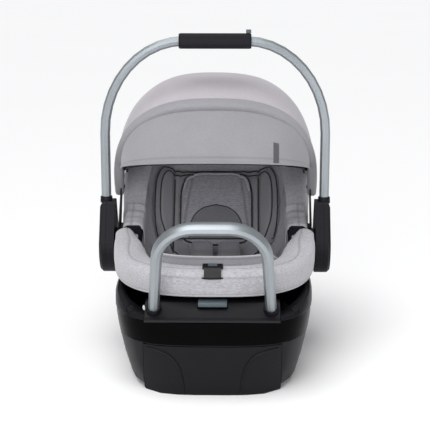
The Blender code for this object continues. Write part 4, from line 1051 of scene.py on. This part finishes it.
def build_labels(liner):
    """Plain sewn patches where the care labels are, with no print on them."""
    tilt = math.radians(VIEW_ELEVATION)
    inward = (0, math.cos(tilt), -math.sin(tilt))
    tree = surface_of(liner, bpy.data.objects["rear_cover_heather"])
    for side, tag in SIDES:
        rows = []
        for j in range(12):
            t = j / 11
            outer_x = 0.1500 - 0.006 * t
            inner_x = 0.1290 + 0.012 * max(0.0, t - 0.55)
            z = 0.4620 - 0.052 * t
            rows.append([(side * (inner_x + (outer_x - inner_x) * u), -0.20, z)
                         for u in np.linspace(0, 1, 8)])
        landed = [drop_on(tree, row, inward, lift=0.0010, start=0.6) for row in rows]
        if all(len(row) == 8 for row in landed):
            patch = apply_modifiers(thicken(grid(f"plain_label_{tag}", landed,
                                                 MATERIALS["label"]), 0.0006))
            ride(patch, "carrier")


def build_harness():
    """Shoulder pads over the straps, and the tail that tightens them, over the foot end."""
    for side, tag in SIDES:
        x = side * 0.027
        route = spline([(x, -0.032, 0.1690), (x, 0.000, 0.1695), (x, 0.040, 0.1695),
                        (x, 0.055, 0.1735), (x, 0.064, 0.1830), (x, 0.0685, 0.1930)], 7)
        pad = sweep(f"harness_pad_jersey_{tag}", route, (1, 0, 0), 0.0225, 0.0078,
                    MATERIALS["insert"], power=3.2, dome=0.012, seam_at=0.80)
        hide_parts(f"harness_pad_{tag}", f"harness_strap_{tag}")
        ride(pad, "carrier")

    tail = spline([(0, -0.2130, 0.2200), (0, -0.2180, 0.2224), (0, -0.2405, 0.2232),
                   (0, -0.2462, 0.2203), (0, -0.2510, 0.2150), (0, -0.2528, 0.2075)], 6)
    strap = sweep("adjuster_tail_webbing", tail[10:], (1, 0, 0), 0.0150, 0.0009,
                  MATERIALS["webbing"], power=8, dome=0.0006)
    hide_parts("adjuster_strap")
    ride(strap, "carrier")
    slot_half = 0.019
    slot = [(x, -0.2534, 0.2080 + 0.0012 * (x / slot_half) ** 2)
            for x in np.linspace(-slot_half, slot_half, 20)]
    trim("adjuster_slot_lip", slot, 0.0016, "recess", "webbing")


def build_front_lip():
    """The insert's raised front edge: light hem, sloping face, and the half-moon opening."""
    rows, seam, hem = [], [], []
    section = spline([(-0.004, -0.020), (0.004, -0.006), (0.010, -0.001), (0.006, 0.0),
                      (-0.002, -0.0012), (-0.012, -0.0065), (-0.024, -0.0125), (-0.036, -0.0180),
                      (-0.040, -0.026)], 5)
    for i in range(72):
        u = -1 + 2 * i / 71
        x = 0.117 * u
        back = 0.030 * abs(u) ** 3.4
        crest_z = 0.2175 + 0.0025 * abs(u) ** 2 - 0.012 * ease((abs(u) - 0.86) / 0.14)
        crest_y = -0.152 + back
        rows.append([(x, crest_y + y, crest_z + z) for y, z in section])
        seam += [0.45 * bell(k / len(section), 0.52, 0.018) for k in range(len(section))]
        hem.append((x, crest_y + 0.0035, crest_z + 0.0005))
    lip = thicken(grid("insert_front_lip", rows, MATERIALS["insert"], seam=seam), 0.002, 1.0)
    apply_modifiers(lip)
    ride(lip, "carrier")
    trim("insert_front_hem", hem, 0.0034, "piping_light", "heather_light", flat=0.8)

    tree = surface_of(lip)
    toward = (0, 0.6, -0.8)
    moon = []
    for j in range(9):
        v = j / 8
        half = 0.0385 * math.sqrt(max(1 - v**2, 0.0004))
        y = -0.1840 + 0.0205 * v
        moon.append(drop_on(tree, [(half * t, y, 0.21) for t in np.linspace(-1, 1, 25)], toward,
                            lift=0.0008))
    if all(len(row) == 25 for row in moon):
        flap = apply_modifiers(thicken(grid("half_moon_opening", moon, MATERIALS["arch"]), 0.001))
        ride(flap, "carrier")
        edge = [row[0] for row in moon] + moon[-1][6:-6:6] + [row[-1] for row in moon[::-1]]
        trim("half_moon_piping", resample(edge, 60), 0.0014, "piping_light", "heather_light")
    link = drop_on(tree, [(0, y, 0.21) for y in np.linspace(-0.178, -0.190, 6)], toward, lift=0.002)
    if len(link) > 3:
        link += [Vector((0, -0.2010, 0.2170)), Vector((0, -0.2140, 0.2228))]
        ride(sweep("adjuster_link_webbing", spline(link, 4), (1, 0, 0), 0.0150, 0.0009,
                   MATERIALS["webbing"], power=8, dome=0.0006), "carrier")


# ---------------------------------------------------------------- trim on the hard parts

def build_base_relief():
    """Raised bell-shaped lines on the lower front panel, moulded into the recline foot."""
    tree = surface_of(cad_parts["recline_foot"])
    low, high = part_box("recline_foot")
    for side, tag in SIDES:
        curve = spline([(side * 0.050, 0.002), (side * 0.053, 0.030), (side * 0.060, 0.056),
                        (side * 0.074, 0.074), (side * 0.096, 0.083), (side * 0.117, 0.086)], 7)
        line = [(x, low[1] - 0.05, z) for x, z in curve]
        landed = drop_on(tree, line, (0, 1, 0), lift=0.0004)
        trim(f"panel_relief_{tag}", landed, 0.0022, "black", "moulded_black", "recline_foot")


def build_corner_fillers():
    """Webs that close the corner between the console's end and each ear cover."""
    _, console_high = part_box("front_console")
    ear_low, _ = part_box("ear_cover_right")
    inner, outer = console_high[0] - 0.004, ear_low[0] + 0.012
    for side, tag in SIDES:
        rows = []
        for y, z in ((-0.2790, 0.1385), (-0.2660, 0.1395), (-0.2500, 0.1395), (-0.2320, 0.1385),
                     (-0.2310, 0.1180)):
            rows.append([(side * (inner + (outer - inner) * t), y, z + 0.0015 * t)
                         for t in np.linspace(0, 1, 6)])
        web = thicken(grid(f"corner_web_{tag}", rows, MATERIALS["black"]), 0.0015)
        ride(apply_modifiers(web), "base")


def build_ear_recesses():
    """Dark screw recesses near the front of each ear cover."""
    for side, tag in SIDES:
        tree = surface_of(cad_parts[f"ear_cover_{tag}"])
        spot = drop_on(tree, [(side * 0.146, -0.236, 0.3)], lift=0.0)
        if spot:
            rim = [spot[0] + Vector((0.0075 * math.cos(a), 0.0085 * math.sin(a), 0.0012))
                   for a in (2 * math.pi * k / 28 for k in range(28))]
            ring = drop_on(tree, [p + Vector((0, 0, 0.1)) for p in rim], lift=0.0003)
            if len(ring) == 28:
                cup = grid(f"ear_recess_{tag}", [ring, [p.lerp(spot[0], 0.96) for p in ring]],
                           MATERIALS["recess"], wrap=True)
                ride(cup, "base")
                trim(f"ear_recess_lip_{tag}", ring, 0.0012, "black", "moulded_black", "base",
                     closed=True)


def build_hub_caps():
    """A raised ring and a flush cap over each handle pivot, and the seam across each hub."""
    _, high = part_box("hub_cover_right")
    for side, tag in SIDES:
        face = side * high[0]
        for name, radius, thick in (("outer", 0.034, 0.0011), ("inner", 0.015, 0.0009)):
            trim(f"hub_{name}_ring_{tag}", circle((face, *HANDLE_PIVOT), radius, "X", 64), thick,
                 "black_soft", "moulded_black", "handle", closed=True, up=(1, 0, 0))
        rows = [circle((face + side * out, *HANDLE_PIVOT), reach, "X", 48)
                for reach, out in ((0.0142, 0.0), (0.0138, 0.0012), (0.0120, 0.0017),
                                   (0.0001, 0.0019))]
        ride(grid(f"hub_cap_{tag}", rows, MATERIALS["black"], wrap=True), "handle")


def build_tube_collars():
    """Black collars where the handle tube enters each hub."""
    for side, tag in SIDES:
        rows = [circle((side * TUBE_X, HANDLE_PIVOT[0], z), radius, "Z", 40)
                for radius, z in ((0.0098, 0.2985), (0.0113, 0.2975), (0.0118, 0.2900),
                                  (0.0118, 0.2860))]
        ride(grid(f"tube_collar_{tag}", rows, MATERIALS["black_soft"], wrap=True), "handle")


# ---------------------------------------------------------------- floor, lights, camera

def build_stage():
    bpy.context.scene.view_settings.view_transform = "Standard"
    floor_material, nodes, links, shader = new_material("pale_floor", (0.93, 0.93, 0.93),
                                                        Roughness=0.9)
    tone = noise_texture(nodes, links, (0.6, 0.6, 0.6))
    links.new(ramp(nodes, links, tone, [(0.3, (0.925,) * 3), (0.7, (0.935,) * 3)]),
              shader.inputs["Base Color"])
    shader.inputs["Specular IOR Level"].default_value = 0.0
    bpy.ops.mesh.primitive_plane_add(size=120, location=(0, 0, 0))
    floor = bpy.context.object
    floor.name = "floor"
    floor.data.materials.append(floor_material)

    world = bpy.data.worlds.new("studio")
    bpy.context.scene.world = world
    world.use_nodes = True
    nodes, links = world.node_tree.nodes, world.node_tree.links
    soft = nodes["Background"]
    soft.inputs["Color"].default_value = (0.97, 0.98, 1.0, 1)
    soft.inputs["Strength"].default_value = WORLD_LIGHT
    backdrop = nodes.new("ShaderNodeBackground")
    backdrop.inputs["Strength"].default_value = 1.0
    backdrop.inputs["Color"].default_value = (1, 1, 1, 1)
    path = nodes.new("ShaderNodeLightPath")
    choose = nodes.new("ShaderNodeMixShader")
    links.new(path.outputs["Is Camera Ray"], choose.inputs["Fac"])
    links.new(soft.outputs["Background"], choose.inputs[1])
    links.new(backdrop.outputs["Background"], choose.inputs[2])
    links.new(choose.outputs["Shader"], nodes["World Output"].inputs["Surface"])


def aim(lamp, place, target):
    lamp.location = place
    lamp.rotation_euler = (Vector(target) - Vector(place)).to_track_quat("-Z", "Y").to_euler()
    bpy.context.scene.collection.objects.link(lamp)


def add_light(name, place, target, size, power):
    light = bpy.data.lights.new(name, "AREA")
    light.energy = power
    light.size = size
    aim(bpy.data.objects.new(name, light), place, target)


def build_lights():
    middle = (0, 0, 0.3)
    sky = bpy.data.lights.new("overhead_sky", "SUN")
    sky.energy = SKY_LIGHT
    sky.angle = math.radians(50)
    aim(bpy.data.objects.new("overhead_sky", sky), (-0.5, -0.6, 3.0), middle)
    add_light("front_key", (-0.5, -2.5, 1.1), middle, 1.8, KEY_LIGHT)
    add_light("front_fill", (1.7, -1.9, 0.9), middle, 1.2, FILL_LIGHT)


def build_camera():
    distance, elevation, azimuth = 2.3, math.radians(VIEW_ELEVATION), math.radians(1.0)
    target = Vector((0, 0, 0.263))
    back = Vector((math.sin(azimuth) * math.cos(elevation),
                   -math.cos(azimuth) * math.cos(elevation), math.sin(elevation)))
    data = bpy.data.cameras.new("camera")
    data.lens = 99.8
    data.sensor_width = 36
    camera = bpy.data.objects.new("camera", data)
    camera.location = target + back * distance
    camera.rotation_euler = (-back).to_track_quat("-Z", "Y").to_euler()
    bpy.context.scene.collection.objects.link(camera)
    bpy.context.scene.camera = camera


finish_hard_parts()
build_canopy_cloth()
build_canopy_edge()
build_visor()
build_covers()
build_side_panels()
liner = build_liner()
build_labels(liner)
build_seat_insert()
build_front_lip()
build_head_support()
build_pillow()
build_harness()
build_base_relief()
build_corner_fillers()
build_ear_recesses()
build_hub_caps()
build_tube_collars()
build_stage()
build_lights()
build_camera()
